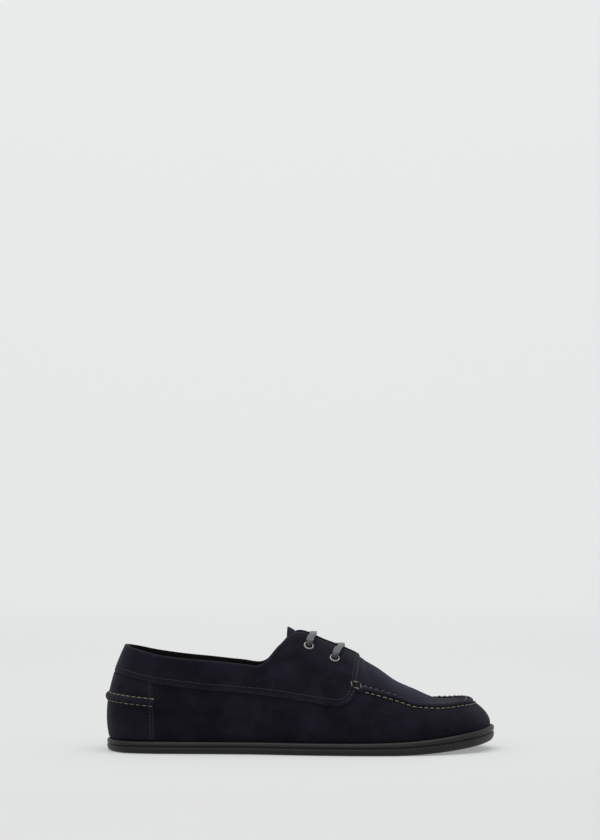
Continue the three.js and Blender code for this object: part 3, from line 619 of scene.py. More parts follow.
# Outsole and insole
# The sole's side: millimetres out from its edge, share of its thickness
SOLE_PROFILE = (
    (-4.2, 0.0),
    (-2.9, 0.012),
    (-1.9, 0.05),
    (-1.1, 0.11),
    (-0.55, 0.185),
    (-0.2, 0.27),
    (-0.02, 0.36),
    (0.05, 0.42),
    (0.0, 0.49),
    (-0.15, 0.53),
    (-0.45, 0.552),
    (-0.95, 0.562),
    (-1.1, 0.58),
    (-1.1, 0.615),
    (-0.95, 0.635),
    (-0.42, 0.645),
    (-0.12, 0.67),
    (0.02, 0.72),
    (0.05, 0.79),
    (-0.05, 0.86),
    (-0.3, 0.92),
    (-0.7, 0.962),
    (-1.2, 0.99),
    (-1.7, 1.0),
    (-2.6, 1.0),
    (-3.4, 0.99),
    (-4.4, 0.985),
)
TREAD_STEPS = 90
TREAD_PITCH = 7.5
TREAD_DEPTH = 1.3
TREAD_SWING = 2.2
TREAD_WAVE = 13
INSOLE_STEPS = 30
# Sections of the footbed's side: millimetres out from its edge, height
INSOLE_PROFILE = ((-0.6, 0.05), (0, 0.6), (0, 2.2), (-0.3, 2.75), (-0.9, 3.0))
CUP_DEPTH = 1.1
# The heel pad's pressed outline: its centre, its radius and how much longer than wide it is
PAD_AT = 44
PAD_RADIUS = 21
PAD_STRETCH = 1.35
PAD_DEPTH = 0.35


def make_outsole():
    lines = ring_columns(0.75)
    count = len(lines)
    levels = []
    for out, up in SOLE_PROFILE:
        p = sole_edge_offset(lines, np.full(count, float(out)))
        levels.append(np.stack([p[:, 0], p[:, 1], spring_at(p[:, 0]) + up * sole_thickness(p[:, 0])], -1))
    points = np.concatenate(levels)
    quads = [loop_faces(count, len(levels))]
    half = count // 2
    outer = levels[0][: half + 1]
    inner = levels[0][(count - np.arange(half + 1)) % count]
    t = np.linspace(0, 1, TREAD_STEPS + 1)[None, :, None]
    tread = lerp(outer[:, None, :], inner[:, None, :], t)
    x, y = tread[..., 0], tread[..., 1]
    tread[..., 2] = spring_at(x)
    width = np.linalg.norm(outer - inner, axis=-1)[:, None]
    edge = np.minimum(t[..., 0], 1 - t[..., 0]) * width
    ends = np.minimum(x - 6, LENGTH - 6 - x)
    swing = TREAD_SWING * np.sin(y * 2 * math.pi / TREAD_WAVE)
    wave = np.abs(np.mod(x + swing, TREAD_PITCH) - TREAD_PITCH / 2)
    cut = (1 - smooth(wave, 0.35, 0.85)) * smooth(edge, 3, 5) * smooth(ends, 0, 3)
    rim = (1 - smooth(np.abs(edge - 2.2), 0.3, 0.8)) * smooth(ends, -3, 0) * 0.6
    tread[..., 2] += TREAD_DEPTH * np.maximum(cut, rim)
    quads.append(grid_faces(half + 1, TREAD_STEPS + 1, len(points))[:, ::-1])
    points = np.concatenate([points, tread.reshape(-1, 3)])
    top = (len(levels) - 1) * count
    i = np.arange(half)
    a, b = top + i, top + i + 1
    c, d = top + (count - i - 1) % count, top + (count - i) % count
    quads.append(np.stack([a, b, c, d], -1))
    thing = make_mesh("shoe_outsole", points, np.concatenate(quads), (("height", sole_share),))
    return finish_piece(thing, MATERIALS["rubber"], "rubber", "outsole")


def sole_share(p):
    return (p[:, 2] - spring_at(p[:, 0])) / sole_thickness(p[:, 0])


def make_insole():
    lines = ring_columns(2.0)
    count = len(lines)
    inset = -(SOLE_LIP + WALL + INSOLE_GAP)
    levels = []
    for more, rise in INSOLE_PROFILE:
        p = sole_edge_offset(lines, np.full(count, inset + more))
        levels.append(np.stack([p[:, 0], p[:, 1], sole_top(p[:, 0]) + CLEARANCE + rise], -1))
    points = np.concatenate(levels)
    quads = [loop_faces(count, len(levels))]
    half = count // 2
    t = np.linspace(0, 1, INSOLE_STEPS + 1)[None, :, None]
    for level, sign in ((levels[-1], 1), (levels[0], 0)):
        outer = level[: half + 1]
        inner = level[(count - np.arange(half + 1)) % count]
        cap = lerp(outer[:, None, :], inner[:, None, :], t)
        width = np.linalg.norm(outer - inner, axis=-1)[:, None]
        edge = np.minimum(t[..., 0], 1 - t[..., 0]) * width
        x = cap[..., 0]
        cup = smooth(np.minimum(edge, np.minimum(x - 7, LENGTH - 12 - x)), 0, 16) * (1 - smooth(x, 60, 150))
        cap[..., 2] -= sign * CUP_DEPTH * cup
        pad = np.hypot((x - PAD_AT) / PAD_STRETCH, cap[..., 1]) - PAD_RADIUS
        cap[..., 2] -= sign * PAD_DEPTH * np.exp(-((pad / 0.8) ** 2))
        quads.append(grid_faces(half + 1, INSOLE_STEPS + 1, len(points)))
        if not sign:
            quads[-1] = quads[-1][:, ::-1]
        points = np.concatenate([points, cap.reshape(-1, 3)])
    thing = make_mesh("shoe_insole", points, np.concatenate(quads))
    return finish_piece(thing, MATERIALS["lining"], "lining", "insole")


# Upper and lining
# Where the leather ends and the lining starts, under the wall's outside
LEATHER_BACK = -0.9
LINING_FRONT = -0.95
# How far the wall's rounded rim stands past its top edge, and the lining's along the throat
RIM = 0.3
THROAT_LINING = 1.6
# The wall's longest section, over which its points are spread
WALL_REACH = 66


def wall_shell(name, step, rise, outer, inner, rim, marks=()):
    """A closed sheet all round the shoe between two offsets, with a rounded rim at its top."""
    lines = ring_columns(step)
    count = len(lines)
    v = np.concatenate([[0, 0.004], np.linspace(0, 1, round(WALL_REACH / rise) + 1)[1:]])
    coarse = np.linspace(1, 0, 25)
    front = skin(lines[:, None], v[None, :], np.full((count, len(v)), float(outer)))
    front[:, 0, 2] -= CLEARANCE - 0.02
    back = skin(lines[:, None], coarse[None, :], np.full((count, len(coarse)), float(inner)))
    back[:, -1, 2] -= CLEARANCE - 0.02
    open_share = smooth(gap_at(lines), 0, 1.5) + (row_of(lines) <= END_ROWS)
    reach = rim(lines) * np.clip(open_share, 0, 1)
    bends = []
    for angle in (30, 60, 90, 120, 150):
        lift = math.sin(math.radians(angle))
        share = (1 - math.cos(math.radians(angle))) / 2
        bends.append(beyond(lines, reach * lift, np.full(count, lerp(outer, inner, share))))
    band = np.stack(bends, 1)
    closed = (row_of(lines) > END_ROWS) & (gap_at(lines) < 0.01)
    here = np.arange(count // 2 + 1)
    here = here[closed[: count // 2 + 1]]
    across = (count - here) % count
    front[across, -1], band[across], back[across, 0] = front[here, -1], band[here], back[here, 0]
    points = np.concatenate([front, band, back], 1)
    rows = points.shape[1]
    quads = grid_faces(count, rows, closed=True).reshape(count, rows - 1, 4)
    met = closed & np.roll(closed, -1)
    edge = np.arange(rows - 1)
    rim_rows = (edge >= len(v) - 1) & (edge < len(v) + len(bends))
    keep = ~(met[:, None] & rim_rows[None, :])
    i = np.arange(count)
    k = (i + 1) % count
    base = np.stack([i * rows + rows - 1, k * rows + rows - 1, k * rows, i * rows], -1)
    return make_mesh(name, points, np.concatenate([quads[keep], base]), marks)


def throat_share(s):
    """1 along the slanted throat, where the lining stands a little above the leather."""
    row = row_of(s)
    return smooth(row, 7.2, 7.7) * (1 - smooth(row, 8.75, 9.0))


# Marks that the suede reads: painted light on the apron's top, the seam's painted shadow and painted shade at
# the foot
# The apron's top, painted lighter as if lit from above
def apron_top_light_mark(p):
    return smooth(inside_apron(p), -0.3, 0.3)


# Painted shadow along both sides of the apron seam
def seam_shadow_mark(p):
    beside = np.exp(-(((np.abs(inside_apron(p)) - 2.3) / 0.9) ** 2))
    return beside * smooth(p[:, 0], SEAM_START - 1, SEAM_START + 2)


# Painted shade at the foot of the upper, where it meets the sole
def foot_shade_mark(p):
    return np.exp(-np.maximum(0, p[:, 2] - sole_top(p[:, 0]) - CLEARANCE) / 2.2)


UPPER_MARKS = (("apron", apron_top_light_mark), ("seam", seam_shadow_mark), ("foot", foot_shade_mark))


def leather_rim(s):
    return np.full_like(s, RIM)


def lining_rim(s):
    return RIM + THROAT_LINING * throat_share(s)


def make_upper():
    thing = wall_shell("shoe_upper", 1.1, 0.95, 0, LEATHER_BACK, leather_rim, UPPER_MARKS)
    thing = finish_piece(thing, MATERIALS["suede"], "suede", "upper")
    lining = wall_shell("shoe_lining", 1.6, 2.0, LINING_FRONT, -WALL, lining_rim)
    return thing, finish_piece(lining, MATERIALS["lining"], "lining")


# Collar band with its saddles and eyestays
BAND_BASE = 0.05
BAND_OUT = CLEARANCE + BAND_THICKNESS
# The band's edge is round at the sides and thins out slowly at the saddle's top
BAND_EDGE_ROUND = 0.9
SADDLE_TOP_ROUND = 4.5
SADDLE_TOP = (54, 66)
BAND_ROWS = 38


def band_end():
    """The ring position where the saddle's front edge meets the slit."""
    top = BAND_FRONT + BAND_LEAN * (top_edge(np.array([float(SADDLE_ROW)]))[0, 2] - SEAM_START_HEIGHT)
    return solve(LAST_ROW / 2, LAST_ROW, top - 0.6, top_x)


def band_line(inset, step, side=-1):
    """Ring positions and heights of a line inside the band's lower edge, from the heel up to the slit."""
    end = band_end()
    s = np.concatenate([np.linspace(0, end - 0.6, 500), np.linspace(end - 0.6, end, 401)[1:]])

    def height(s):
        return crossing(s, lambda p: inside_band(p) - inset)

    v = height(s)
    keep = v < 0.9995
    s = even_steps(wall(s[keep], v[keep]), s[keep], step)
    return s if side < 0 else RING - s, height(s)


def band_offset(p, to_top):
    edge = lerp(BAND_EDGE_ROUND, SADDLE_TOP_ROUND, smooth(p[..., 2], *SADDLE_TOP))
    lower = rounded(inside_band(p), edge)
    upper = rounded(to_top, 1.1)
    return BAND_BASE + (BAND_OUT - BAND_BASE) * lower * lerp(0.35, 1, upper)


# Lighter along the band's lower edge: worn nap and a painted highlight
def saddle_edge_wear_and_highlight(p):
    return np.exp(-np.maximum(0, inside_band(p)) / 1.3)


BAND_MARKS = (("edge", saddle_edge_wear_and_highlight),)


def make_band():
    half, _ = band_line(0, 0.7)
    end = band_end()
    half = np.append(half[half < end - 1e-6], end)
    lines = np.concatenate([-half[:0:-1], half])
    low = crossing(lines, inside_band)
    length = wall_length(lines) * (1 - low)
    near = np.array([0, 0.06, 0.14, 0.25, 0.4, 0.6, 0.85, 1.15, 1.6, 2.2])
    even = np.linspace(0, 1, BAND_ROWS)
    share = []
    for total in length:
        total = max(total, 0.02)
        fit = min(1, total / 9)
        low_part = near * fit / total
        top_part = 1 - near[:-1][::-1] * 0.75 * fit / total
        middle = lerp(low_part[-1], top_part[0], even[1:-1])
        share.append(np.concatenate([low_part, middle, top_part]))
    share = np.clip(np.array(share), 0, 1)
    v = lerp(low[:, None], 1, share)
    p = wall(lines[:, None], v)
    to_top = (1 - share) * length[:, None]
    outer = skin(lines[:, None], v, band_offset(p, to_top))
    inner = skin(lines[:, None], v, np.full(v.shape, BAND_BASE - 0.02))
    # Lighter along the band's rolled top edge: worn nap and a painted highlight
    thing = shell("shoe_collar_band", outer, inner, BAND_MARKS, {"top": both(np.exp(-to_top / 0.9))})
    return finish_piece(thing, MATERIALS["suede"], "suede", "collar_band")


# Heel counter and strap
COUNTER_OUT = CLEARANCE + COUNTER_THICKNESS


def counter_grid(a, t):
    """Ring positions and heights over the counter: a from side to side, t from its foot to under the band."""
    foot = 0.7 / (HEEL_HEIGHT - SOLE_HEEL_THICKNESS)

    def top_of(s):
        return crossing(s, lambda p: inside_band(p) + 0.4)

    lengths = lerp(COUNTER_FOOT_LENGTH, COUNTER_TOP_LENGTH, t)
    ends = solve_all(1, LAST_ROW / 2, lengths, lambda s: wall(s, lerp(foot, top_of(s), t))[..., 0])
    s = a[:, None] * ends[None, :]
    return s, lerp(foot, top_of(s.ravel()).reshape(s.shape), t[None, :])


def make_counter():
    bend = np.array([0, 0.002, 0.005, 0.01, 0.017, 0.026, 0.04])
    a = np.concatenate([-1 + bend, np.linspace(-0.94, 0.94, 95), 1 - bend[::-1]])
    t = np.concatenate([[0, 0.004, 0.01, 0.018], np.linspace(0.035, 1, 50)])
    s, v = counter_grid(a, t)
    half = np.linalg.norm(np.diff(wall(s[:, 20], v[:, 20]), axis=0), axis=1).sum() / 2
    to_edge = (1 - np.abs(a))[:, None] * half
    to_foot = t[None, :] * 45
    share = rounded(np.minimum(to_edge, to_foot), 0.8)
    outer = skin(s, v, 0.04 + (COUNTER_OUT - 0.04) * share)
    inner = skin(s, v, np.full(s.shape, 0.02))
    # Lighter along the counter's edges: worn nap and a painted highlight
    worn = np.exp(-np.broadcast_to(to_edge, s.shape) / 0.7)
    # Painted shade under the band's lower edge and along the counter's foot, kept as its foot mark
    dark = np.exp(-np.maximum(0, -inside_band(wall(s, v)) - 0.3) / 1.0)
    low = np.exp(-to_foot / 1.5) * 0.6 + 0 * s
    values = {"edge": both(worn), "foot": both(np.maximum(0.6 * dark, low))}
    thing = shell("shoe_heel_counter", outer, inner, (), values)
    return finish_piece(thing, MATERIALS["suede"], "suede", "heel_counter")


def tube(rings, name, marks=(), values=None):
    """A closed solid through rings of points, with a fan at each end."""
    count, sides = rings.shape[:2]
    points = rings.reshape(-1, 3)
    ends = np.stack([rings[0].mean(0), rings[-1].mean(0)])
    quads = [loop_faces(sides, count)]
    i = np.arange(sides)
    k = (i + 1) % sides
    hub = len(points)
    quads.append(np.stack([k, i, np.full(sides, hub), np.full(sides, hub)], -1))
    last = (count - 1) * sides
    quads.append(np.stack([last + i, last + k, np.full(sides, hub + 1), np.full(sides, hub + 1)], -1))
    points = np.concatenate([points, ends])
    if values:
        values = {label: np.append(np.asarray(v).reshape(-1), [0, 0]) for label, v in values.items()}
    return make_mesh(name, points, np.concatenate(quads), marks, values)


def ridge_frames(s, v, base):
    """Centre points along a line of the wall with their directions across and up."""
    p = skin(s, v, np.full(s.shape, float(base)))
    along = unit(np.gradient(p, axis=0))
    n = normal(s, v)
    across = unit(np.cross(along, n))
    return p, across, unit(np.cross(across, along))


def strap_line(step):
    def height(s):
        return crossing(s, lambda p: p[..., 2] - (STRAP_BACK_HEIGHT - STRAP_FALL * p[..., 0]))

    end = solve(1, LAST_ROW / 2, COUNTER_TOP_LENGTH + 1.4, lambda s: wall(s, height(s))[..., 0])
    s = np.linspace(-end, end, 801)
    s = even_steps(wall(s, height(s)), s, step)
    return s, height(s)


STITCH_PITCH = 4.6
ROLL_ANGLES = np.linspace(-math.pi * 0.62, math.pi * 0.62, 15)


def roll_section(width, height):
    """Section of a rolled edge, across and up, rounded on top and narrow at the foot."""
    across = np.sin(ROLL_ANGLES) * width / 2
    up = height * (0.36 + 0.64 * np.cos(ROLL_ANGLES))
    return np.append(across, 0), np.append(np.maximum(up, -0.35), -0.5)


def make_strap():
    s, v = strap_line(0.45)
    p, across, up = ridge_frames(s, v, COUNTER_OUT - 0.1)
    total = run_of(p)
    to_end = np.minimum(total, total[-1] - total)
    taper = 0.35 + 0.65 * rounded(to_end, 1.8)
    pinch = 1 - 0.07 * np.exp(-((np.mod(total, STITCH_PITCH) - STITCH_PITCH / 2) / 0.9) ** 2)
    x, y = roll_section(STRAP_WIDTH, STRAP_HEIGHT)
    rings = (
        p[:, None]
        + across[:, None] * (x[None, :, None] * (0.4 + 0.6 * taper * pinch)[:, None, None])
        + up[:, None] * (y[None, :, None] * (taper * pinch)[:, None, None])
    )
    # The top of the strap's roll is painted lighter, a painted highlight, kept as its top mark
    worn = np.broadcast_to(np.maximum(0, y / STRAP_HEIGHT) ** 3, rings.shape[:2])
    thing = tube(rings, "shoe_heel_strap", (), {"top": 0.55 * worn})
    return finish_piece(thing, MATERIALS["suede"], "suede", "heel_strap")


# Apron seam and tabs
def seam_at(s):
    return crossing(s, inside_apron)


def seam_x(s):
    return wall(s, seam_at(s))[..., 0]


def seam_line(step, inset=0.0):
    end = solve(LAST_ROW / 2, LAST_ROW, SEAM_START, seam_x)
    s = np.linspace(end, RING - end, 1601)

    def height(s):
        return crossing(s, lambda p: inside_apron(p) - inset)

    s = even_steps(wall(s, height(s)), s, step)
    return s, height(s)


def ridge_growth(p):
    """The ridge stands higher on the far side of the toe and lower at its tip."""
    at_toe = smooth(p[:, 0], SINK_START, SINK_FULL)
    tip = np.exp(-(((p[:, 1] - crest_drift(p[:, 0])) / 10) ** 2))
    return 1 + at_toe * (0.3 * smooth(p[:, 1], 4, 18) - 0.35 * tip)


def seam_top_light(p):
    """The seam's roll gets nearly as much of the apron's painted top light."""
    return np.full(len(p), 0.75)


def make_seam():
    s, v = seam_line(0.5)
    p, across, up = ridge_frames(s, v, -0.1)
    total = run_of(p)
    to_end = np.minimum(total, total[-1] - total)
    taper = 0.5 + 0.5 * rounded(to_end, 2.2)
    wave = np.exp(-((np.mod(total, STITCH_PITCH) - STITCH_PITCH / 2) / 1.0) ** 2)
    x, y = roll_section(SEAM_WIDTH, SEAM_HEIGHT + 0.3)
    side = np.clip(-x / (SEAM_WIDTH / 2), 0, 1)
    pinch = 1 - 0.2 * wave[:, None] * (0.25 + side[None, :])
    grow = ridge_growth(p)
    rings = (
        p[:, None]
        + across[:, None] * (x[None, :] * taper[:, None] * pinch)[..., None]
        + up[:, None] * (y[None, :] * (taper * grow)[:, None] * pinch)[..., None]
    )
    # The top of the seam's roll is painted lighter, a painted highlight, kept as its top mark
    worn = np.broadcast_to(np.maximum(0, y / SEAM_HEIGHT) ** 2, rings.shape[:2])
    # Painted shade at each stitch's pinch on the seam's near flank, kept as its foot mark
    dark = wave[:, None] * side[None, :]
    values = {"top": 0.5 * worn, "foot": 0.8 * dark}
    thing = tube(rings, "shoe_apron_seam", (("apron", seam_top_light),), values)
    return finish_piece(thing, MATERIALS["suede"], "suede", "apron_seam")


TAB_BASE = BAND_OUT - 0.05
# How far the tab reaches over the seam's end
TAB_OVERLAP = 0.8


@functools.cache
def tab_ends():
    """Ring positions of the tab's rear and front."""
    front = SEAM_START + TAB_OVERLAP
    return [solve(LAST_ROW / 2, LAST_ROW, x, seam_x) for x in (front - TAB_LENGTH - TAB_OVERLAP, front)]


def tab_grid(side, a, b):
    """Ring positions and heights over a tab: a from rear to front, b from its lower to its upper edge."""
    rear, front = tab_ends()
    middle = np.array([(rear + front) / 2])
    spread = TAB_WIDTH / 2 / wall_length(middle)[0]
    s = lerp(rear, front, a)[:, None] + 0 * b[None, :]
    line = s if side < 0 else RING - s
    v = seam_at(line.ravel()).reshape(line.shape) + (2 * b[None, :] - 1) * spread
    return line, v


def make_tab(side, name, node):
    bend = np.array([0, 0.01, 0.03, 0.06, 0.1, 0.15])
    a = np.concatenate([bend, np.linspace(0.2, 0.8, 16), 1 - bend[::-1]])
    line, v = tab_grid(side, a, a)
    in_from = np.minimum(a, 1 - a)
    edge = np.minimum(in_from[:, None] * (TAB_LENGTH + TAB_OVERLAP), in_from[None, :] * TAB_WIDTH)
    swell = np.exp(-(((a - 0.5) / 0.22) ** 2))
    puff = 0.25 * swell[:, None] * swell[None, :]
    out = TAB_BASE + (TAB_THICKNESS + puff) * rounded(edge, 0.9)
    drop = np.full(line.shape, TAB_BASE - 1.4)
    # Lighter along the tab's edges: worn nap and a painted highlight
    thing = shell(name, skin(line, v, out), skin(line, v, drop), (), {"edge": both(np.exp(-edge / 0.7))})
    return finish_piece(thing, MATERIALS["suede"], "suede", node)


# Tongue
def apart(p, start):
    """Distance of points from one start each, also over several heights."""
    return np.linalg.norm(p - (start[:, None] if p.ndim == 3 else start), axis=-1)


def tongue_layer(rows, across, offset):
    """The tongue's surface: it follows the wall's inside under both eyestays and bridges the slit between."""
    top = top_edge(rows)
    axis = crest_drift(top[:, 0])
    edges = {}
    for side in (-1, 1):
        ring = rows if side < 0 else RING - rows
        rim = crossing(ring, lambda p: (TONGUE_BRIDGE - np.abs(p[..., 1].T - axis)).T)
        start = wall(ring, rim)
        depth = crossing(ring, lambda p: TONGUE_OVERLAP - apart(p, start))
        edges[side] = ring, rim, depth

    def on_wall(side, t):
        ring, rim, depth = edges[side]
        v = lerp(rim, depth, t)
        return wall(ring, v) + normal(ring, v) * offset

    outer, inner = on_wall(-1, 0), on_wall(1, 0)
    corner = top_edge(np.array([float(CORNER_ROW)]))[0]
    behind = np.clip((corner[0] - top[:, 0]) / (corner[0] - TONGUE_REAR), 0, 1)
    level = np.where(rows < CORNER_ROW, corner[2], top[:, 2])
    crown = TONGUE_CROWN * smooth(gap_at(rows), 0, 2)
    crest = level + offset + crown + TONGUE_FLARE * behind**TONGUE_CURL
    bends = []
    for a, b in ((outer, inner), (inner, outer)):
        bend = a + (b - a) / 3
        bend[:, 2] = a[:, 2] + (crest - a[:, 2]) / 0.75
        bends.append(bend)
    columns = []
    for share in across:
        if abs(share) >= TONGUE_EDGE:
            columns.append(on_wall(-1 if share < 0 else 1, (abs(share) - TONGUE_EDGE) / (1 - TONGUE_EDGE)))
        else:
            t = (share / TONGUE_EDGE + 1) / 2
            bridge = outer * (1 - t) ** 3 + 3 * bends[0] * t * (1 - t) ** 2
            columns.append(bridge + 3 * bends[1] * t**2 * (1 - t) + inner * t**3)
    return np.stack(columns, 1)


TONGUE_TOP = -(WALL + 0.35)


def make_tongue():
    rear = solve(LAST_ROW / 3, LAST_ROW / 2, TONGUE_REAR, top_x)
    front = solve(LAST_ROW / 2, LAST_ROW, TONGUE_FRONT, top_x)
    along = np.concatenate([[0, 0.004, 0.01, 0.018, 0.03], np.linspace(0.05, 1, 40)])
    across = np.concatenate([[-1, -0.985, -0.96, -0.93], np.linspace(-0.9, 0.9, 49), [0.93, 0.96, 0.985, 1]])
    rows = lerp(rear, front, along)
    top = tongue_layer(rows, across, TONGUE_TOP)
    low = tongue_layer(rows, across, TONGUE_TOP - TONGUE_THICKNESS)
    edge = np.minimum(along[:, None] * 60, (1 - np.abs(across))[None, :] * 22)
    bend = (1 - rounded(edge, 1.1))[..., None] * 0.5
    outer, inner = lerp(top, low, bend), lerp(low, top, bend)
    # Lighter along the tongue's rear end: worn nap and a painted highlight
    worn = np.exp(-np.broadcast_to(along[:, None] * 60, edge.shape) / 1.2)
    thing = shell("shoe_tongue", outer, inner, (), {"edge": both(worn)})
    return finish_piece(thing, MATERIALS["suede"], "suede", "tongue")


# Eyelets and lace
def eyelet_place(eyelet, side):
    def edge(s):
        return s if side < 0 else RING - s

    def height(s):
        return crossing(edge(s), lambda p: p[..., 2] - (INSTEP_HEIGHT - eyelet["drop"]))

    s = solve(LAST_ROW / 3, LAST_ROW, eyelet["at"], lambda r: wall(edge(r), height(r))[..., 0])
    s = np.array([s])
    return edge(s), height(s)


def eyelet_frame(eyelet, side, offset):
    """An eyelet's seat with its directions out of the leather, to the toe and up."""
    s, v = eyelet_place(eyelet, side)
    n = normal(s, v)[0]
    forward = unit(np.cross(n, [0.0, 0.0, 1.0])) * (1 if side < 0 else -1)
    return skin(s, v, np.array([offset]))[0], n, forward, np.cross(forward, n)


def lathe(profile, sides, seat, axis, u, w):
    """Rings of points turned about an axis, from radii and heights."""
    angle = np.linspace(0, 2 * math.pi, sides, endpoint=False)
    spin = np.cos(angle)[:, None] * u + np.sin(angle)[:, None] * w
    return np.array([seat + axis * z + spin * r for r, z in profile])


# An eyelet's section, radius and height over its seat, in millimetres
EYELET_PROFILE = (
    (2.36, -3.3),
    (2.75, -3.3),
    (2.86, -3.1),
    (2.86, 0.02),
    (3.72, 0.04),
    (3.88, 0.2),
    (3.86, 0.42),
    (3.68, 0.66),
    (3.38, 0.82),
    (3.04, 0.86),
    (2.74, 0.76),
    (2.52, 0.52),
    (2.42, 0.2),
    (2.38, -0.3),
    (2.36, -3.3),
)


EYELET_SIDES = 48
HOLE_RADIUS = 2.6
HOLE_REACH = 6
HOLE_SIDES = 32


def make_eyelet(eyelet, side, name, node):
    seat, n, u, w = eyelet_frame(eyelet, side, BAND_OUT - 0.12)
    rings = lathe(EYELET_PROFILE, EYELET_SIDES, seat, n, u, w)
    thing = make_mesh(name, rings.reshape(-1, 3), loop_faces(EYELET_SIDES, len(rings)))
    return finish_piece(thing, MATERIALS["metal"], "metal", node)


def cut_eyelets(*things):
    """Cuts the eyelets' holes through the upper, its lining and the band, and puts their marks back."""
    cutters = []
    for eyelet in (REAR_EYELETS, FRONT_EYELETS):
        for side in (-1, 1):
            seat, n, u, w = eyelet_frame(eyelet, side, 0)
            ends = ((HOLE_RADIUS, -HOLE_REACH), (HOLE_RADIUS, HOLE_REACH))
            rings = lathe(ends, HOLE_SIDES, seat, n, u, w)
            cutters.append(tube(rings, "hole"))
    with bpy.context.temp_override(active_object=cutters[0], selected_editable_objects=cutters):
        bpy.ops.object.join()
    cutter = cutters[0]
    for thing, marks in things:
        cut = thing.modifiers.new("holes", "BOOLEAN")
        cut.operation = "DIFFERENCE"
        cut.solver = "MANIFOLD"
        cut.object = cutter
        bpy.context.view_layer.update()
        graph = bpy.context.evaluated_depsgraph_get()
        made = bpy.data.meshes.new_from_object(thing.evaluated_get(graph))
        thing.modifiers.remove(cut)
        before = len(thing.data.vertices)
        if len(made.vertices) < 100 or len(made.vertices) == before:
            raise RuntimeError("the eyelet holes of " + thing.name + " were not cut")
        thing.data = made
        made.polygons.foreach_set("use_smooth", np.full(len(made.polygons), True))
        mark_points(thing, marks)
    bpy.data.objects.remove(cutter)


def spline(points, count):
    """A smooth line through points, with even steps."""
    p = np.asarray(points, float)
    gaps = np.sqrt(np.linalg.norm(np.diff(p, axis=0), axis=1))
    knots = np.concatenate([[0], np.cumsum(gaps)])
    slopes = np.gradient(p, knots, axis=0)
    at = np.linspace(0, knots[-1], 40 * len(p))
    k = np.clip(np.searchsorted(knots, at, side="right") - 1, 0, len(p) - 2)
    h = (knots[k + 1] - knots[k])[:, None]
    t = ((at - knots[k]) / h[:, 0])[:, None]
    fine = (
        (2 * t**3 - 3 * t**2 + 1) * p[k]
        + (t**3 - 2 * t**2 + t) * h * slopes[k]
        + (3 * t**2 - 2 * t**3) * p[k + 1]
        + (t**3 - t**2) * h * slopes[k + 1]
    )
    length = run_of(fine)
    even = np.linspace(0, length[-1], count)
    return np.stack([np.interp(even, length, fine[:, c]) for c in range(3)], -1), length[-1]


# How high the lace lies over the wall on its way from an eyelet to the slit, and its way up through the
# eyelet: height over the seat and lean to the slit
LACE_LIES = (3.6, 3.1, 2.75)
LACE_DIP = ((-3.2, 0), (-1.6, 0), (0.3, 0.1), (1.7, 1.3))


def lace_path(eyelet):
    """Points of a lace bar out of one eyelet, over the eyestays and the tongue, and into the other."""
    over = solve(LAST_ROW / 3, LAST_ROW, eyelet["at"] + eyelet["lean"], top_x)
    sides = []
    for side in (-1, 1):
        seat, n, _, _ = eyelet_frame(eyelet, side, BAND_OUT)
        s, v = eyelet_place(eyelet, side)
        edge = np.array([over if side < 0 else RING - over])
        climb = []
        for i, lie in enumerate(LACE_LIES, 1):
            climb.append(skin(lerp(s, edge, i / 3), lerp(v, 1, i / 3), np.array([lie]))[0])
        toward = unit(climb[0] - seat)
        bore = seat + toward * 1.0
        through = [bore + n * rise + toward * lean for rise, lean in LACE_DIP]
        sides.append([*through, *climb])
    outer, inner = sides
    top = (outer[-1] + inner[-1]) / 2 + np.array([0, 0, 0.35])
    return np.array([*outer, top, *inner[::-1]])


LACE_SIDES = 20
LACE_POINTS = 150


def make_lace(eyelet, name, node):
    points, length = spline(lace_path(eyelet), LACE_POINTS)
    along = unit(np.gradient(points, axis=0))
    outer, inner = points[LACE_POINTS * 3 // 10], points[LACE_POINTS * 7 // 10]
    forward = unit(np.cross(outer - inner, [0.0, 0.0, 1.0]))
    rise = unit(np.cross(along, forward))
    side = np.cross(rise, along)
    at = np.linspace(0, length, len(points))
    out = smooth(np.minimum(at, length - at), 3.4, 8.5)
    width = lerp(3.5, LACE_WIDTH, out)
    thick = lerp(2.2, LACE_THICKNESS * 0.85, out)
    angle = np.linspace(0, 2 * math.pi, LACE_SIDES, endpoint=False)
    x = np.sign(np.cos(angle)) * np.abs(np.cos(angle)) ** 0.55 / 2
    y = np.sign(np.sin(angle)) * np.abs(np.sin(angle)) ** 0.8 / 2
    rib = 1 + 0.05 * np.cos(x * 2 * math.pi * 3)
    rings = (
        points[:, None]
        + side[:, None] * (x[None, :] * width[:, None])[..., None]
        + rise[:, None] * (y[None, :] * rib[None, :] * thick[:, None])[..., None]
    )
    values = {
        "along": np.broadcast_to(at[:, None], rings.shape[:2]),
        "across": np.broadcast_to(x[None, :] * LACE_WIDTH, rings.shape[:2]),
    }
    thing = tube(rings, name, (), values)
    return finish_piece(thing, MATERIALS["lace"], "lace", node)


# Stitches
STITCH_INPUTS = (("Pitch", 0.0046), ("Length", 0.003), ("Thread", 0.0003), ("Rise", 0.0004), ("Sink", 0.0003))
STITCH_SEED = 7
ARC_STEPS = 8
THREAD_SIDES = 8


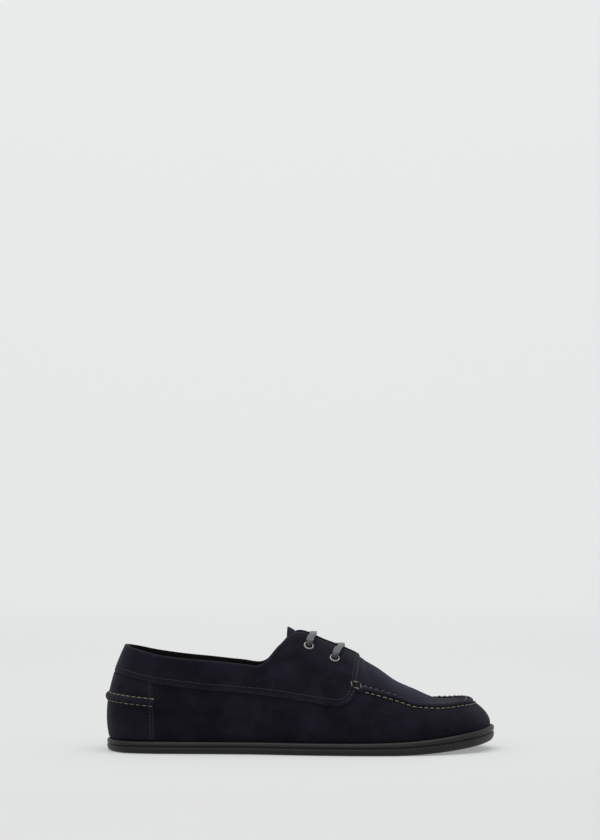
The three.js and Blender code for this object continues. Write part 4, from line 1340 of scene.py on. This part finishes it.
def stitch_tree():
    """A node tree that lays a stitch at each step along a line and turns it with the leather."""
    tree = bpy.data.node_groups.new("stitches", "GeometryNodeTree")
    face = tree.interface
    face.new_socket("Geometry", in_out="INPUT", socket_type="NodeSocketGeometry")
    for name, default in STITCH_INPUTS:
        socket = face.new_socket(name, in_out="INPUT", socket_type="NodeSocketFloat")
        socket.default_value = default
    face.new_socket("Seed", in_out="INPUT", socket_type="NodeSocketInt").default_value = STITCH_SEED
    face.new_socket("Material", in_out="INPUT", socket_type="NodeSocketMaterial")
    face.new_socket("Geometry", in_out="OUTPUT", socket_type="NodeSocketGeometry")
    new, link = tree.nodes.new, tree.links.new
    given, made = new("NodeGroupInput"), new("NodeGroupOutput")

    def maths(operation, a, b):
        node = new("ShaderNodeMath")
        node.operation = operation
        for socket, value in zip(node.inputs, (a, b)):
            if isinstance(value, (int, float)):
                socket.default_value = value
            else:
                link(value, socket)
        return node.outputs[0]

    def place(z, x=None):
        node = new("ShaderNodeCombineXYZ")
        link(z, node.inputs["Z"])
        if x is not None:
            link(x, node.inputs["X"])
        return node.outputs[0]

    curve, steps = new("GeometryNodeMeshToCurve"), new("GeometryNodeResampleCurve")
    steps.mode = "LENGTH"
    link(given.outputs["Geometry"], curve.inputs["Mesh"])
    link(curve.outputs[0], steps.inputs["Curve"])
    link(given.outputs["Pitch"], steps.inputs["Length"])
    arc = new("GeometryNodeCurveQuadraticBezier")
    arc.inputs["Resolution"].default_value = ARC_STEPS
    half = maths("MULTIPLY", given.outputs["Length"], 0.5)
    low = maths("MULTIPLY", given.outputs["Sink"], -1)
    link(place(low, maths("MULTIPLY", half, -1)), arc.inputs["Start"])
    link(place(maths("MULTIPLY", given.outputs["Rise"], 2)), arc.inputs["Middle"])
    link(place(low, half), arc.inputs["End"])
    along, store = new("GeometryNodeSplineParameter"), new("GeometryNodeStoreNamedAttribute")
    store.data_type = "FLOAT"
    store.inputs["Name"].default_value = "along"
    link(arc.outputs[0], store.inputs["Geometry"])
    link(maths("MULTIPLY", along.outputs["Length"], 1000), store.inputs["Value"])
    ring, sweep = new("GeometryNodeCurvePrimitiveCircle"), new("GeometryNodeCurveToMesh")
    ring.inputs["Resolution"].default_value = THREAD_SIDES
    link(given.outputs["Thread"], ring.inputs["Radius"])
    link(store.outputs[0], sweep.inputs["Curve"])
    link(ring.outputs[0], sweep.inputs["Profile Curve"])
    sweep.inputs["Fill Caps"].default_value = True
    tangent, up = new("GeometryNodeInputTangent"), new("GeometryNodeInputNamedAttribute")
    turn = new("FunctionNodeAxesToRotation")
    up.data_type = "FLOAT_VECTOR"
    up.inputs["Name"].default_value = "leather_normal"
    turn.primary_axis, turn.secondary_axis = "X", "Z"
    link(tangent.outputs[0], turn.inputs["Primary Axis"])
    link(up.outputs["Attribute"], turn.inputs["Secondary Axis"])
    chance, sizes = new("FunctionNodeRandomValue"), new("GeometryNodeInstanceOnPoints")
    chance.data_type = "FLOAT"
    chance.inputs[2].default_value, chance.inputs[3].default_value = 0.93, 1.06
    link(given.outputs["Seed"], chance.inputs["Seed"])
    link(steps.outputs[0], sizes.inputs["Points"])
    link(sweep.outputs[0], sizes.inputs["Instance"])
    link(turn.outputs[0], sizes.inputs["Rotation"])
    link(chance.outputs[1], sizes.inputs["Scale"])
    real, paint = new("GeometryNodeRealizeInstances"), new("GeometryNodeSetMaterial")
    link(sizes.outputs[0], real.inputs[0])
    link(real.outputs[0], paint.inputs["Geometry"])
    link(given.outputs["Material"], paint.inputs["Material"])
    link(paint.outputs[0], made.inputs[0])
    return tree


def thread_line(s, v, offset):
    """Points just above the leather with the direction away from it."""
    return skin(s, v, np.full(s.shape, offset)), normal(s, v)


# Distance of the points of a stitch line, and of the collar's stitches from its edge
LINE_STEP = 0.5
COLLAR_STITCH_INSET = 2.5


def lay_stitches(name, lines, pitch, length, thread, rise, material):
    """One mesh of stitches along several lines of (points, normals), made by the node tree."""
    points = np.concatenate([p for p, _ in lines])
    normals = np.concatenate([n for _, n in lines])
    edges, start = [], 0
    for p, _ in lines:
        edges += [(start + i, start + i + 1) for i in range(len(p) - 1)]
        start += len(p)
    mesh = bpy.data.meshes.new(name)
    mesh.from_pydata(((points - ORIGIN) / 1000).tolist(), edges, [])
    attribute = mesh.attributes.new("leather_normal", "FLOAT_VECTOR", "POINT")
    attribute.data.foreach_set("vector", normals.reshape(-1))
    thing = bpy.data.objects.new(name, mesh)
    bpy.context.scene.collection.objects.link(thing)
    tree = bpy.data.node_groups.get("stitches") or stitch_tree()
    sewn = thing.modifiers.new("stitches", "NODES")
    sewn.node_group = tree
    given = {
        "Pitch": pitch / 1000,
        "Length": length / 1000,
        "Thread": thread / 1000,
        "Rise": rise / 1000,
        "Sink": 0.9 * thread / 1000,
        "Seed": STITCH_SEED,
        "Material": material,
    }
    for item in tree.interface.items_tree:
        if item.in_out == "INPUT" and item.name in given:
            sewn[item.identifier] = given[item.name]
    bpy.context.view_layer.update()
    graph = bpy.context.evaluated_depsgraph_get()
    made = bpy.data.meshes.new_from_object(thing.evaluated_get(graph))
    thing.modifiers.remove(sewn)
    thing.data = made
    made.polygons.foreach_set("use_smooth", np.full(len(made.polygons), True))
    if len(made.polygons) == 0:
        raise RuntimeError("no stitches were made for " + name)
    return thing


def band_rows():
    """A row along the band's lower edge, a second one up its front, and one along the throat and the slit."""
    lines = []
    for inset, start in ((4.2, -LENGTH), (1.9, BAND_FRONT - 10)):
        for side in (-1, 1):
            s, v = band_line(inset, LINE_STEP, side)
            keep = wall(s, v)[..., 0] > start
            lines.append(thread_line(s[keep], v[keep], BAND_OUT))
    end = band_end()
    for side in (-1, 1):
        s = np.linspace(THROAT_ROW - 0.55, end - 0.25, 300)
        s = s if side < 0 else RING - s
        v = 1 - COLLAR_STITCH_INSET / wall_length(s)
        lines.append(thread_line(s, v, BAND_OUT))
    return lines


def counter_rows():
    lines = []
    t = np.linspace(0.03, 0.99, 60)
    for a in (-1, 1):
        s, v = counter_grid(np.array([a * 0.958]), t)
        lines.append(thread_line(s[0], v[0], COUNTER_OUT))
    return lines


def strap_rows():
    s, v = strap_line(LINE_STEP)
    per_mm = 1 / wall_length(s)
    lines = []
    for side in (-1, 1):
        row = v + side * (STRAP_WIDTH / 2 + 0.35) * per_mm
        lines.append(thread_line(s[4:-4], row[4:-4], COUNTER_OUT + 0.25))
    return lines


def seam_rows():
    """A row at each foot of the apron seam, and one high on the ridge along the far side of the toe."""
    s, v = seam_line(LINE_STEP, -2.2)
    lines = [thread_line(s, v, 0.45)]
    s, v = seam_line(LINE_STEP, 1.9)
    lines.append(thread_line(s, v, 0.0))
    p = wall(s, v)
    far = (p[:, 0] > SINK_FULL) & (p[:, 1] > 3)
    lines.append(thread_line(s[far], v[far], 1.55 * ridge_growth(p[far])))
    return lines


# The four stitches on a tab: start a, b and end a, b on its grid
TAB_STITCHES = (
    (0.13, 0.15, 0.87, 0.15),
    (0.87, 0.17, 0.87, 0.85),
    (0.87, 0.85, 0.13, 0.85),
    (0.13, 0.83, 0.13, 0.17),
)


def tab_rows():
    lines = []
    for side in (-1, 1):
        for a0, b0, a1, b1 in TAB_STITCHES:
            points, normals = [], []
            for t in np.linspace(0, 1, 8):
                line, v = tab_grid(side, np.array([lerp(a0, a1, t)]), np.array([lerp(b0, b1, t)]))
                p, n = thread_line(line[0], v[0], TAB_BASE + TAB_THICKNESS)
                points.append(p[0])
                normals.append(n[0])
            lines.append((np.array(points), np.array(normals)))
    return lines


def middle_of(lines, length):
    """The middle stretch of each line, of one length, for single stitches."""
    cut = []
    for p, n in lines:
        centre, along = p.mean(0), unit(p[-1] - p[0])
        points = centre + along * np.linspace(-length / 2, length / 2, 3)[:, None]
        cut.append((points, np.repeat(n.mean(0)[None], 3, 0)))
    return cut


# Finer thread of the dark rows, and the pitch and the length of their stitches
FINE_THREAD = 0.75
FINE_PITCH = 2.65
FINE_LENGTH = 1.75
FINE_RISE = 0.2
STITCH_RISE = 0.35


def make_stitches(sizes):
    thread = sizes.thread_radius
    fine = thread * FINE_THREAD, FINE_RISE, MATERIALS["navy_thread"]
    strong = thread, STITCH_RISE, MATERIALS["tan_thread"]
    pieces = [
        lay_stitches("stitches_band", band_rows(), FINE_PITCH, FINE_LENGTH, *fine),
        lay_stitches("stitches_counter", counter_rows(), FINE_PITCH, FINE_LENGTH, *fine),
        lay_stitches("stitches_strap", strap_rows(), STITCH_PITCH, 3.1, *strong),
        lay_stitches("stitches_seam", seam_rows(), STITCH_PITCH, 2.8, *strong),
        lay_stitches("stitches_tab", middle_of(tab_rows(), 0.4), 1.0, 3.2, *strong),
    ]
    for piece in pieces:
        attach(piece, "root")
    return pieces


# Materials
MATERIALS = {}
FLOAT, VECTOR = "NodeSocketFloat", "NodeSocketVector"


def node_tools(tree):
    """Short makers of the nodes of a material's tree, already linked."""

    def node(kind, inputs=None, **settings):
        made = tree.nodes.new(kind)
        for key, value in settings.items():
            setattr(made, key, value)
        for key, value in (inputs or {}).items():
            if isinstance(value, bpy.types.NodeSocket):
                tree.links.new(value, made.inputs[key])
            else:
                made.inputs[key].default_value = value
        return made

    def maths(operation, a, b=0.0, clamp=False):
        return node("ShaderNodeMath", {0: a, 1: b}, operation=operation, use_clamp=clamp).outputs[0]

    def mix(factor, a, b):
        made = node("ShaderNodeMix", data_type="RGBA")
        for key, value in (("Factor", factor), ("A", a), ("B", b)):
            socket = next(i for i in made.inputs if i.name == key and (key == "Factor" or i.type == "RGBA"))
            if isinstance(value, bpy.types.NodeSocket):
                tree.links.new(value, socket)
            else:
                socket.default_value = value
        return next(o for o in made.outputs if o.type == "RGBA")

    def ramp(value, low, high):
        made = node("ShaderNodeMapRange", {"Value": value, "From Min": low, "From Max": high})
        made.clamp = True
        return made.outputs["Result"]

    def noise(place, scale, detail=3.0, roughness=0.6, distortion=0.0):
        inputs = {"Vector": place, "Scale": scale, "Detail": detail, "Roughness": roughness}
        return node("ShaderNodeTexNoise", {**inputs, "Distortion": distortion}).outputs[0]

    def mark(name):
        return node("ShaderNodeAttribute", attribute_name=name).outputs["Fac"]

    def blend(a, b, share):
        return maths("ADD", maths("MULTIPLY", a, share), maths("MULTIPLY", b, 1 - share))

    def less(value, share):
        return maths("MULTIPLY", value, share)

    made = {"node": node, "maths": maths, "mix": mix, "ramp": ramp, "noise": noise, "mark": mark}
    return SimpleNamespace(blend=blend, less=less, **made)


def group_of(name, inputs, outputs, fill):
    """A shader node group with named inputs and outputs, made once."""
    tree = bpy.data.node_groups.get(name)
    if tree is None:
        tree = bpy.data.node_groups.new(name, "ShaderNodeTree")
        for label, kind in inputs:
            tree.interface.new_socket(label, in_out="INPUT", socket_type=kind)
        for label, kind in outputs:
            tree.interface.new_socket(label, in_out="OUTPUT", socket_type=kind)
        given, made = tree.nodes.new("NodeGroupInput"), tree.nodes.new("NodeGroupOutput")
        for label, value in fill(tree, given.outputs).items():
            tree.links.new(value, made.inputs[label])
    return tree


def fill_nap(tree, given):
    """Brushed patches and short fibres of suede."""
    tools = node_tools(tree)
    place = given["Vector"]
    turned = {"Vector": place, "Rotation": (0.3, 0.5, 0.4), "Scale": (60.0, 150.0, 110.0)}
    streak = tools.node("ShaderNodeMapping", turned).outputs[0]
    wide = tools.ramp(tools.noise(place, 38.0, 2.0, 0.55, 0.6), 0.38, 0.62)
    small = tools.ramp(tools.noise(streak, 1.0, 4.0), 0.38, 0.64)
    grain = tools.ramp(tools.noise(place, 1500.0, 3.0, 0.65), 0.32, 0.7)
    lump = tools.ramp(tools.noise(place, 420.0), 0.35, 0.7)
    return {"Patch": tools.blend(wide, small, 0.6), "Grain": tools.blend(grain, lump, 0.6)}


def fill_edge_wear_and_highlight(tree, given):
    """Lighter nap along cut edges and the tops of rolls, partly worn and partly a painted highlight, broken
    up so that it isn't an even line.
    """
    tools = node_tools(tree)
    broken = tools.ramp(tools.noise(given["Vector"], 180.0), 0.3, 0.65)
    return {"Mask": tools.maths("MULTIPLY", given["Edge"], tools.maths("ADD", tools.less(broken, 0.7), 0.3))}


def new_material(name):
    material = bpy.data.materials.new(name)
    material.use_nodes = True
    tree = material.node_tree
    shader = next(n for n in tree.nodes if n.type == "BSDF_PRINCIPLED")
    return material, tree, shader


def bump_of(tree, height, strength, distance):
    values = {"Height": height, "Strength": strength, "Distance": distance}
    return node_tools(tree).node("ShaderNodeBump", values).outputs[0]


def shade(colour, times):
    return tuple(min(1.0, c * times) for c in colour[:3]) + (1.0,)


# The two effects that the suede uses: their inputs, outputs and what fills them
NAP = (("Vector", VECTOR),), (("Patch", FLOAT), ("Grain", FLOAT)), fill_nap
EDGE_WEAR_AND_HIGHLIGHT = (("Vector", VECTOR), ("Edge", FLOAT)), (("Mask", FLOAT),), fill_edge_wear_and_highlight


def make_suede(sizes):
    material, tree, shader = new_material("suede")
    tools = node_tools(tree)
    link = tree.links.new
    place = tools.node("ShaderNodeTexCoord").outputs["Object"]
    nap = tools.node("ShaderNodeGroup", node_tree=group_of("suede_nap", *NAP))
    link(place, nap.inputs["Vector"])
    wear_and_highlight = tools.node("ShaderNodeGroup", node_tree=group_of("edge_wear_and_highlight", *EDGE_WEAR_AND_HIGHLIGHT))
    link(place, wear_and_highlight.inputs["Vector"])
    # Lighter cut edges and roll tops: worn nap with a painted highlight
    link(tools.maths("MAXIMUM", tools.mark("edge"), tools.mark("top")), wear_and_highlight.inputs["Edge"])
    patch, grain = nap.outputs["Patch"], nap.outputs["Grain"]
    base = sizes.suede_colour
    tone = tools.mix(patch, shade(base, 0.3), shade(base, 1.7))
    tone = tools.mix(tools.less(grain, 0.55), tone, shade(base, 1.9))
    # Painted light: the apron's top and the seam's roll are lighter, as if lit from above
    tone = tools.mix(tools.less(tools.mark("apron"), 0.45), tone, (*sizes.apron_light_colour, 1.0))
    # Worn nap and a painted highlight along the edges and the tops of rolls
    tone = tools.mix(tools.less(wear_and_highlight.outputs["Mask"], sizes.wear_and_highlight), tone, (*sizes.worn_and_lit_colour, 1.0))
    # Painted shade by the foot mark: at the upper's foot, under the band on the counter and beside the seam's
    # stitches
    tone = tools.mix(tools.less(tools.mark("foot"), 0.6), tone, shade(base, 0.3))
    # Painted shadow along both sides of the apron seam
    tone = tools.mix(tools.less(tools.mark("seam"), 0.75), tone, shade(base, 0.2))
    link(tone, shader.inputs["Base Color"])
    link(tools.maths("ADD", tools.less(grain, 0.12), 0.84), shader.inputs["Roughness"])
    shader.inputs["Specular IOR Level"].default_value = 0.06
    shader.inputs["Sheen Weight"].default_value = 0.1
    shader.inputs["Sheen Roughness"].default_value = 0.45
    shader.inputs["Sheen Tint"].default_value = (0.55, 0.58, 0.8, 1)
    height = tools.maths("ADD", grain, tools.less(patch, 0.5))
    link(bump_of(tree, height, 0.55, 0.0003), shader.inputs["Normal"])
    return material


def make_plain(name, colour, roughness, grain, scale, depth, specular=0.4, metallic=0.0, tint=0.35):
    """A material of one colour with a fine uneven grain."""
    material, tree, shader = new_material(name)
    tools = node_tools(tree)
    place = tools.node("ShaderNodeTexCoord").outputs["Object"]
    fine = tools.noise(place, scale, 4.0)
    patch = tools.ramp(tools.noise(place, 70.0, 3.0, 0.55), 0.35, 0.68)
    tone = tools.mix(patch, shade(colour, 1 - tint), shade(colour, 1 + tint))
    tree.links.new(tone, shader.inputs["Base Color"])
    rough = tools.maths("ADD", tools.less(tools.ramp(fine, 0.3, 0.7), grain), roughness)
    tree.links.new(rough, shader.inputs["Roughness"])
    tree.links.new(bump_of(tree, fine, 0.4, depth), shader.inputs["Normal"])
    shader.inputs["Specular IOR Level"].default_value = specular
    shader.inputs["Metallic"].default_value = metallic
    return material, tree, shader, tone


def make_rubber(sizes):
    """Rubber with a painted highlight on the upper bead, painted shade in the groove, and dusty at the foot.
    """
    colour = sizes.rubber_colour
    material, tree, shader, tone = make_plain("rubber", colour, 0.42, 0.16, 900.0, 0.00012, 0.32)
    tools = node_tools(tree)
    height = tools.mark("height")
    # Masks of the painted highlight along the upper bead and of the painted shade in the groove under it
    bead = tools.ramp(height, 0.6, 0.7)
    under_bead = tools.maths("SUBTRACT", 1.0, tools.ramp(height, 0.62, 0.65))
    groove = tools.maths("MULTIPLY", tools.ramp(height, 0.54, 0.57), under_bead)
    dust = tools.maths("SUBTRACT", 1.0, tools.ramp(height, 0.0, 0.2))
    # Painted highlight on the bead, then painted shade in the groove
    tone = tools.mix(tools.less(bead, 0.6), tone, shade(colour, 1.6))
    tone = tools.mix(tools.less(groove, 0.85), tone, shade(colour, 0.15))
    tone = tools.mix(tools.less(dust, 0.25), tone, shade(colour, 2.2))
    tree.links.new(tone, shader.inputs["Base Color"])
    return material


def make_thread(name, colour):
    """Thread with its twist along each stitch."""
    material, tree, shader = new_material(name)
    tools = node_tools(tree)
    place = tools.node("ShaderNodeTexCoord").outputs["Object"]
    turns = tools.maths("SINE", tools.less(tools.mark("along"), 11.0))
    twist = tools.maths("ADD", tools.less(turns, 0.5), 0.5)
    patch = tools.ramp(tools.noise(place, 260.0, 2.0, 0.5), 0.35, 0.65)
    tone = tools.mix(patch, shade(colour, 0.72), shade(colour, 1.3))
    tone = tools.mix(tools.less(twist, 0.4), tone, shade(colour, 0.45))
    tree.links.new(tone, shader.inputs["Base Color"])
    tree.links.new(bump_of(tree, twist, 0.5, 0.0001), shader.inputs["Normal"])
    shader.inputs["Roughness"].default_value = 0.7
    return material


def make_lace_material(sizes):
    """Flat lace, woven in slanted rows that meet on its middle."""
    material, tree, shader = new_material("lace")
    tools = node_tools(tree)
    along, across = tools.mark("along"), tools.mark("across")
    slant = tools.maths("ADD", along, tools.less(tools.maths("ABSOLUTE", across), 0.8))
    rows = tools.maths("SINE", tools.less(slant, 8.5))
    ribs = tools.maths("SINE", tools.less(across, 9.5))
    weave = tools.maths("ADD", tools.less(tools.maths("MULTIPLY", rows, ribs), 0.5), 0.5)
    colour = sizes.lace_colour
    tone = tools.mix(weave, shade(colour, 0.6), shade(colour, 1.3))
    tree.links.new(tone, shader.inputs["Base Color"])
    tree.links.new(bump_of(tree, weave, 0.7, 0.00025), shader.inputs["Normal"])
    shader.inputs["Roughness"].default_value = 0.5
    shader.inputs["Sheen Weight"].default_value = 0.2
    return material


def make_materials(sizes):
    MATERIALS["suede"] = make_suede(sizes)
    MATERIALS["lining"] = make_plain("lining", sizes.lining_colour, 0.7, 0.2, 1100.0, 0.00012, 0.12)[0]
    MATERIALS["rubber"] = make_rubber(sizes)
    MATERIALS["metal"] = make_plain("metal", sizes.metal_colour, 0.3, 0.2, 700.0, 0.00004, 0.5, 1.0, 0.2)[0]
    MATERIALS["lace"] = make_lace_material(sizes)
    MATERIALS["tan_thread"] = make_thread("tan_thread", sizes.thread_colour)
    MATERIALS["navy_thread"] = make_thread("navy_thread", sizes.navy_colour)


# Stage, light and camera, in metres and watts
SWEEP_FROM = -2.2
SWEEP_BEND = 1.6
SWEEP_TOP = 2.6
SWEEP_RADIUS = 0.9
SWEEP_STEPS = 16
SWEEP_HALF_WIDTH = 3.0
FLOOR_GREY = 0.36
# The floor's own glow, and how much more of it there is in the distance and up the backdrop
FLOOR_GLOW = 0.33
DISTANT_GLOW = 0.25
HIGH_GLOW = 0.07
WORLD_STRENGTH = 0.95
# Name, place, target, size, power and colour of each light
LIGHTS = (
    ("light_top", (0.0, -0.15, 1.5), (0, 0, 0.03), (1.4, 1.1), 14.0, (1.0, 0.995, 0.985)),
    ("light_front", (-0.4, -1.5, 1.1), (0, 0, 0.04), (1.2, 0.8), 6.0, (0.97, 0.985, 1.0)),
)
CAMERA_PLACE = (0.0003, -2.34, 0.2451)
CAMERA_LENS = 134.8
CAMERA_SENSOR = 36


def make_floor(sizes):
    """A pale floor that bends up into the backdrop."""
    profile = [(SWEEP_FROM, 0.0), (0.0, 0.0), (SWEEP_BEND, 0.0)]
    for i in range(1, SWEEP_STEPS + 1):
        a = i / SWEEP_STEPS * math.pi / 2
        profile.append((SWEEP_BEND + SWEEP_RADIUS * math.sin(a), SWEEP_RADIUS * (1 - math.cos(a))))
    profile.append((SWEEP_BEND + SWEEP_RADIUS, SWEEP_TOP))
    points = [(x, y, z) for x in (-SWEEP_HALF_WIDTH, SWEEP_HALF_WIDTH) for y, z in profile]
    count = len(profile)
    faces = [(i, count + i, count + i + 1, i + 1) for i in range(count - 1)]
    mesh = bpy.data.meshes.new("floor")
    mesh.from_pydata(points, [], faces)
    mesh.polygons.foreach_set("use_smooth", np.full(len(mesh.polygons), True))
    floor = bpy.data.objects.new("floor", mesh)
    bpy.context.scene.collection.objects.link(floor)
    material, tree, shader = new_material("floor")
    shader.inputs["Base Color"].default_value = (FLOOR_GREY, FLOOR_GREY, FLOOR_GREY, 1)
    shader.inputs["Roughness"].default_value = 1.0
    shader.inputs["Specular IOR Level"].default_value = 0.0
    shader.inputs["Emission Color"].default_value = (*sizes.backdrop_colour[:3], 1)
    tools = node_tools(tree)
    place = tools.node("ShaderNodeTexCoord").outputs["Object"]
    parts = tools.node("ShaderNodeSeparateXYZ", {"Vector": place})
    deep = tools.less(tools.ramp(parts.outputs["Y"], -0.3, 1.7), DISTANT_GLOW)
    high = tools.less(tools.ramp(parts.outputs["Z"], 0.0, 0.9), HIGH_GLOW)
    glow = tools.maths("ADD", tools.maths("ADD", deep, high), FLOOR_GLOW)
    tree.links.new(glow, shader.inputs["Emission Strength"])
    mesh.materials.append(material)
    return floor


def area_light(name, place, target, size, power, colour):
    data = bpy.data.lights.new(name, "AREA")
    data.shape = "RECTANGLE"
    data.size, data.size_y = size
    data.energy = power
    data.color = colour
    light = bpy.data.objects.new(name, data)
    light.location = place
    aim = np.array(target, float) - np.array(place, float)
    light.rotation_euler = (math.atan2(math.hypot(aim[0], aim[1]), -aim[2]), 0, math.atan2(-aim[0], aim[1]))
    bpy.context.scene.collection.objects.link(light)
    return light


def make_stage(sizes):
    scene = bpy.context.scene
    scene.view_settings.view_transform = "Standard"
    world = bpy.data.worlds.new("studio")
    world.use_nodes = True
    background = world.node_tree.nodes["Background"]
    background.inputs["Color"].default_value = (*sizes.backdrop_colour[:3], 1)
    background.inputs["Strength"].default_value = WORLD_STRENGTH
    scene.world = world
    floor = make_floor(sizes)
    lights = [area_light(*light) for light in LIGHTS]
    data = bpy.data.cameras.new("camera")
    data.lens = CAMERA_LENS
    data.sensor_width = CAMERA_SENSOR
    data.clip_start = 0.05
    camera = bpy.data.objects.new("camera", data)
    camera.location = CAMERA_PLACE
    camera.rotation_euler = (math.pi / 2, 0, 0)
    scene.collection.objects.link(camera)
    scene.camera = camera


# Sizes and colours that the sidebar offers


def colour(name, description, default):
    return FloatVectorProperty(name=name, description=description, default=default, subtype="COLOR", size=3)


class BoatShoeSizes(PropertyGroup):
    crease_depth: FloatProperty(
        name="Creases",
        description="Depth of the worn leather's creases, as a share of the usual",
        default=1.0,
        min=0,
        max=2,
        subtype="FACTOR",
    )
    thread_radius: FloatProperty(
        name="Thread",
        description="Radius of the sewing thread in millimetres",
        default=0.34,
        min=0.1,
        max=0.8,
    )
    # How much lighter the cut edges and the tops of rolls are: worn nap and a painted highlight
    wear_and_highlight: FloatProperty(
        name="Worn edges",
        description="How much lighter the leather's cut edges are",
        default=0.6,
        min=0,
        max=1,
        subtype="FACTOR",
    )
    suede_colour: colour("Suede", "Colour of the suede", (0.0052, 0.0044, 0.0078))
    # Painted light on the top of the toe
    apron_light_colour: colour("Apron", "Colour of the brushed top of the toe", (0.0115, 0.0112, 0.0175))
    # Colour of the lighter edges and roll tops: worn nap and a painted highlight
    worn_and_lit_colour: colour("Edges", "Colour of the worn edges", (0.026, 0.026, 0.036))
    lining_colour: colour("Lining", "Colour of the lining", (0.004, 0.0034, 0.0034))
    rubber_colour: colour("Sole", "Colour of the rubber sole", (0.0045, 0.0045, 0.0047))
    thread_colour: colour("Tan thread", "Colour of the seams' thread", (0.19, 0.16, 0.105))
    navy_colour: colour("Dark thread", "Colour of the thread on the band", (0.0125, 0.0125, 0.019))
    lace_colour: colour("Lace", "Colour of the lace", (0.034, 0.039, 0.05))
    metal_colour: colour("Eyelets", "Colour of the eyelets' metal", (0.2, 0.195, 0.185))
    backdrop_colour: colour("Backdrop", "Colour of the backdrop", (0.79, 0.81, 0.8))


class BOATSHOE_OT_outsole(Operator):
    """Makes the rubber outsole with its bead, groove and tread"""

    bl_idname = "boatshoe.outsole"
    bl_label = "Outsole"

    def execute(self, context):
        make_outsole()
        return {"FINISHED"}


class BOATSHOE_OT_insole(Operator):
    """Makes the footbed"""

    bl_idname = "boatshoe.insole"
    bl_label = "Insole"

    def execute(self, context):
        make_insole()
        return {"FINISHED"}


class BOATSHOE_OT_upper(Operator):
    """Makes the upper, its lining and the collar band, and cuts the eyelets' holes through them"""

    bl_idname = "boatshoe.upper"
    bl_label = "Upper and collar band"

    def execute(self, context):
        upper, lining = make_upper()
        band = make_band()
        cut_eyelets((upper, UPPER_MARKS), (lining, ()), (band, BAND_MARKS))
        return {"FINISHED"}


class BOATSHOE_OT_heel(Operator):
    """Makes the heel counter and the rolled strap across it"""

    bl_idname = "boatshoe.heel"
    bl_label = "Heel counter and strap"

    def execute(self, context):
        make_counter()
        make_strap()
        return {"FINISHED"}


class BOATSHOE_OT_apron(Operator):
    """Makes the raised apron seam and the tabs at its ends"""

    bl_idname = "boatshoe.apron"
    bl_label = "Apron seam and tabs"

    def execute(self, context):
        make_seam()
        make_tab(-1, "shoe_tab_outer", "seam_tab_outer")
        make_tab(1, "shoe_tab_inner", "seam_tab_inner")
        return {"FINISHED"}


class BOATSHOE_OT_tongue(Operator):
    """Makes the tongue"""

    bl_idname = "boatshoe.tongue"
    bl_label = "Tongue"

    def execute(self, context):
        make_tongue()
        return {"FINISHED"}


class BOATSHOE_OT_eyelets(Operator):
    """Makes the four metal eyelets"""

    bl_idname = "boatshoe.eyelets"
    bl_label = "Eyelets"

    def execute(self, context):
        for eyelet, place in ((REAR_EYELETS, "rear"), (FRONT_EYELETS, "front")):
            for side, half in ((-1, "outer"), (1, "inner")):
                make_eyelet(eyelet, side, f"shoe_eyelet_{half}_{place}", f"eyelet_{half}_{place}")
        return {"FINISHED"}


class BOATSHOE_OT_lace(Operator):
    """Makes both bars of the lace, into the eyelets"""

    bl_idname = "boatshoe.lace"
    bl_label = "Lace"

    def execute(self, context):
        make_lace(REAR_EYELETS, "shoe_lace_rear", "lace_rear")
        make_lace(FRONT_EYELETS, "shoe_lace_front", "lace_front")
        return {"FINISHED"}


class BOATSHOE_OT_stitches(Operator):
    """Sews the seams with Geometry Nodes"""

    bl_idname = "boatshoe.stitches"
    bl_label = "Stitches"

    def execute(self, context):
        make_stitches(context.scene.boat_shoe)
        return {"FINISHED"}


class BOATSHOE_OT_stage(Operator):
    """Makes the floor, the lights and the camera"""

    bl_idname = "boatshoe.stage"
    bl_label = "Stage"

    def execute(self, context):
        make_stage(context.scene.boat_shoe)
        return {"FINISHED"}


STEPS = (
    BOATSHOE_OT_outsole,
    BOATSHOE_OT_insole,
    BOATSHOE_OT_upper,
    BOATSHOE_OT_heel,
    BOATSHOE_OT_apron,
    BOATSHOE_OT_tongue,
    BOATSHOE_OT_eyelets,
    BOATSHOE_OT_lace,
    BOATSHOE_OT_stitches,
    BOATSHOE_OT_stage,
)


class BOATSHOE_PT_panel(Panel):
    """Lists the shoe's sizes, colours and steps"""

    bl_label = "Boat Shoe"
    bl_idname = "BOATSHOE_PT_panel"
    bl_space_type = "VIEW_3D"
    bl_region_type = "UI"
    bl_category = "Boat Shoe"

    def draw(self, context):
        sizes = context.scene.boat_shoe
        for name in BoatShoeSizes.__annotations__:
            self.layout.prop(sizes, name)
        for step in STEPS:
            self.layout.operator(step.bl_idname)


CLASSES = (BoatShoeSizes, *STEPS, BOATSHOE_PT_panel)


def register():
    for cls in CLASSES:
        bpy.utils.register_class(cls)
    bpy.types.Scene.boat_shoe = PointerProperty(type=BoatShoeSizes)


def unregister():
    del bpy.types.Scene.boat_shoe
    for cls in reversed(CLASSES):
        bpy.utils.unregister_class(cls)


def main():
    register()
    find_origin()
    make_materials(bpy.context.scene.boat_shoe)
    for step in STEPS:
        group, name = step.bl_idname.split(".")
        getattr(getattr(bpy.ops, group), name)()


if __name__ == "__main__":
    main()
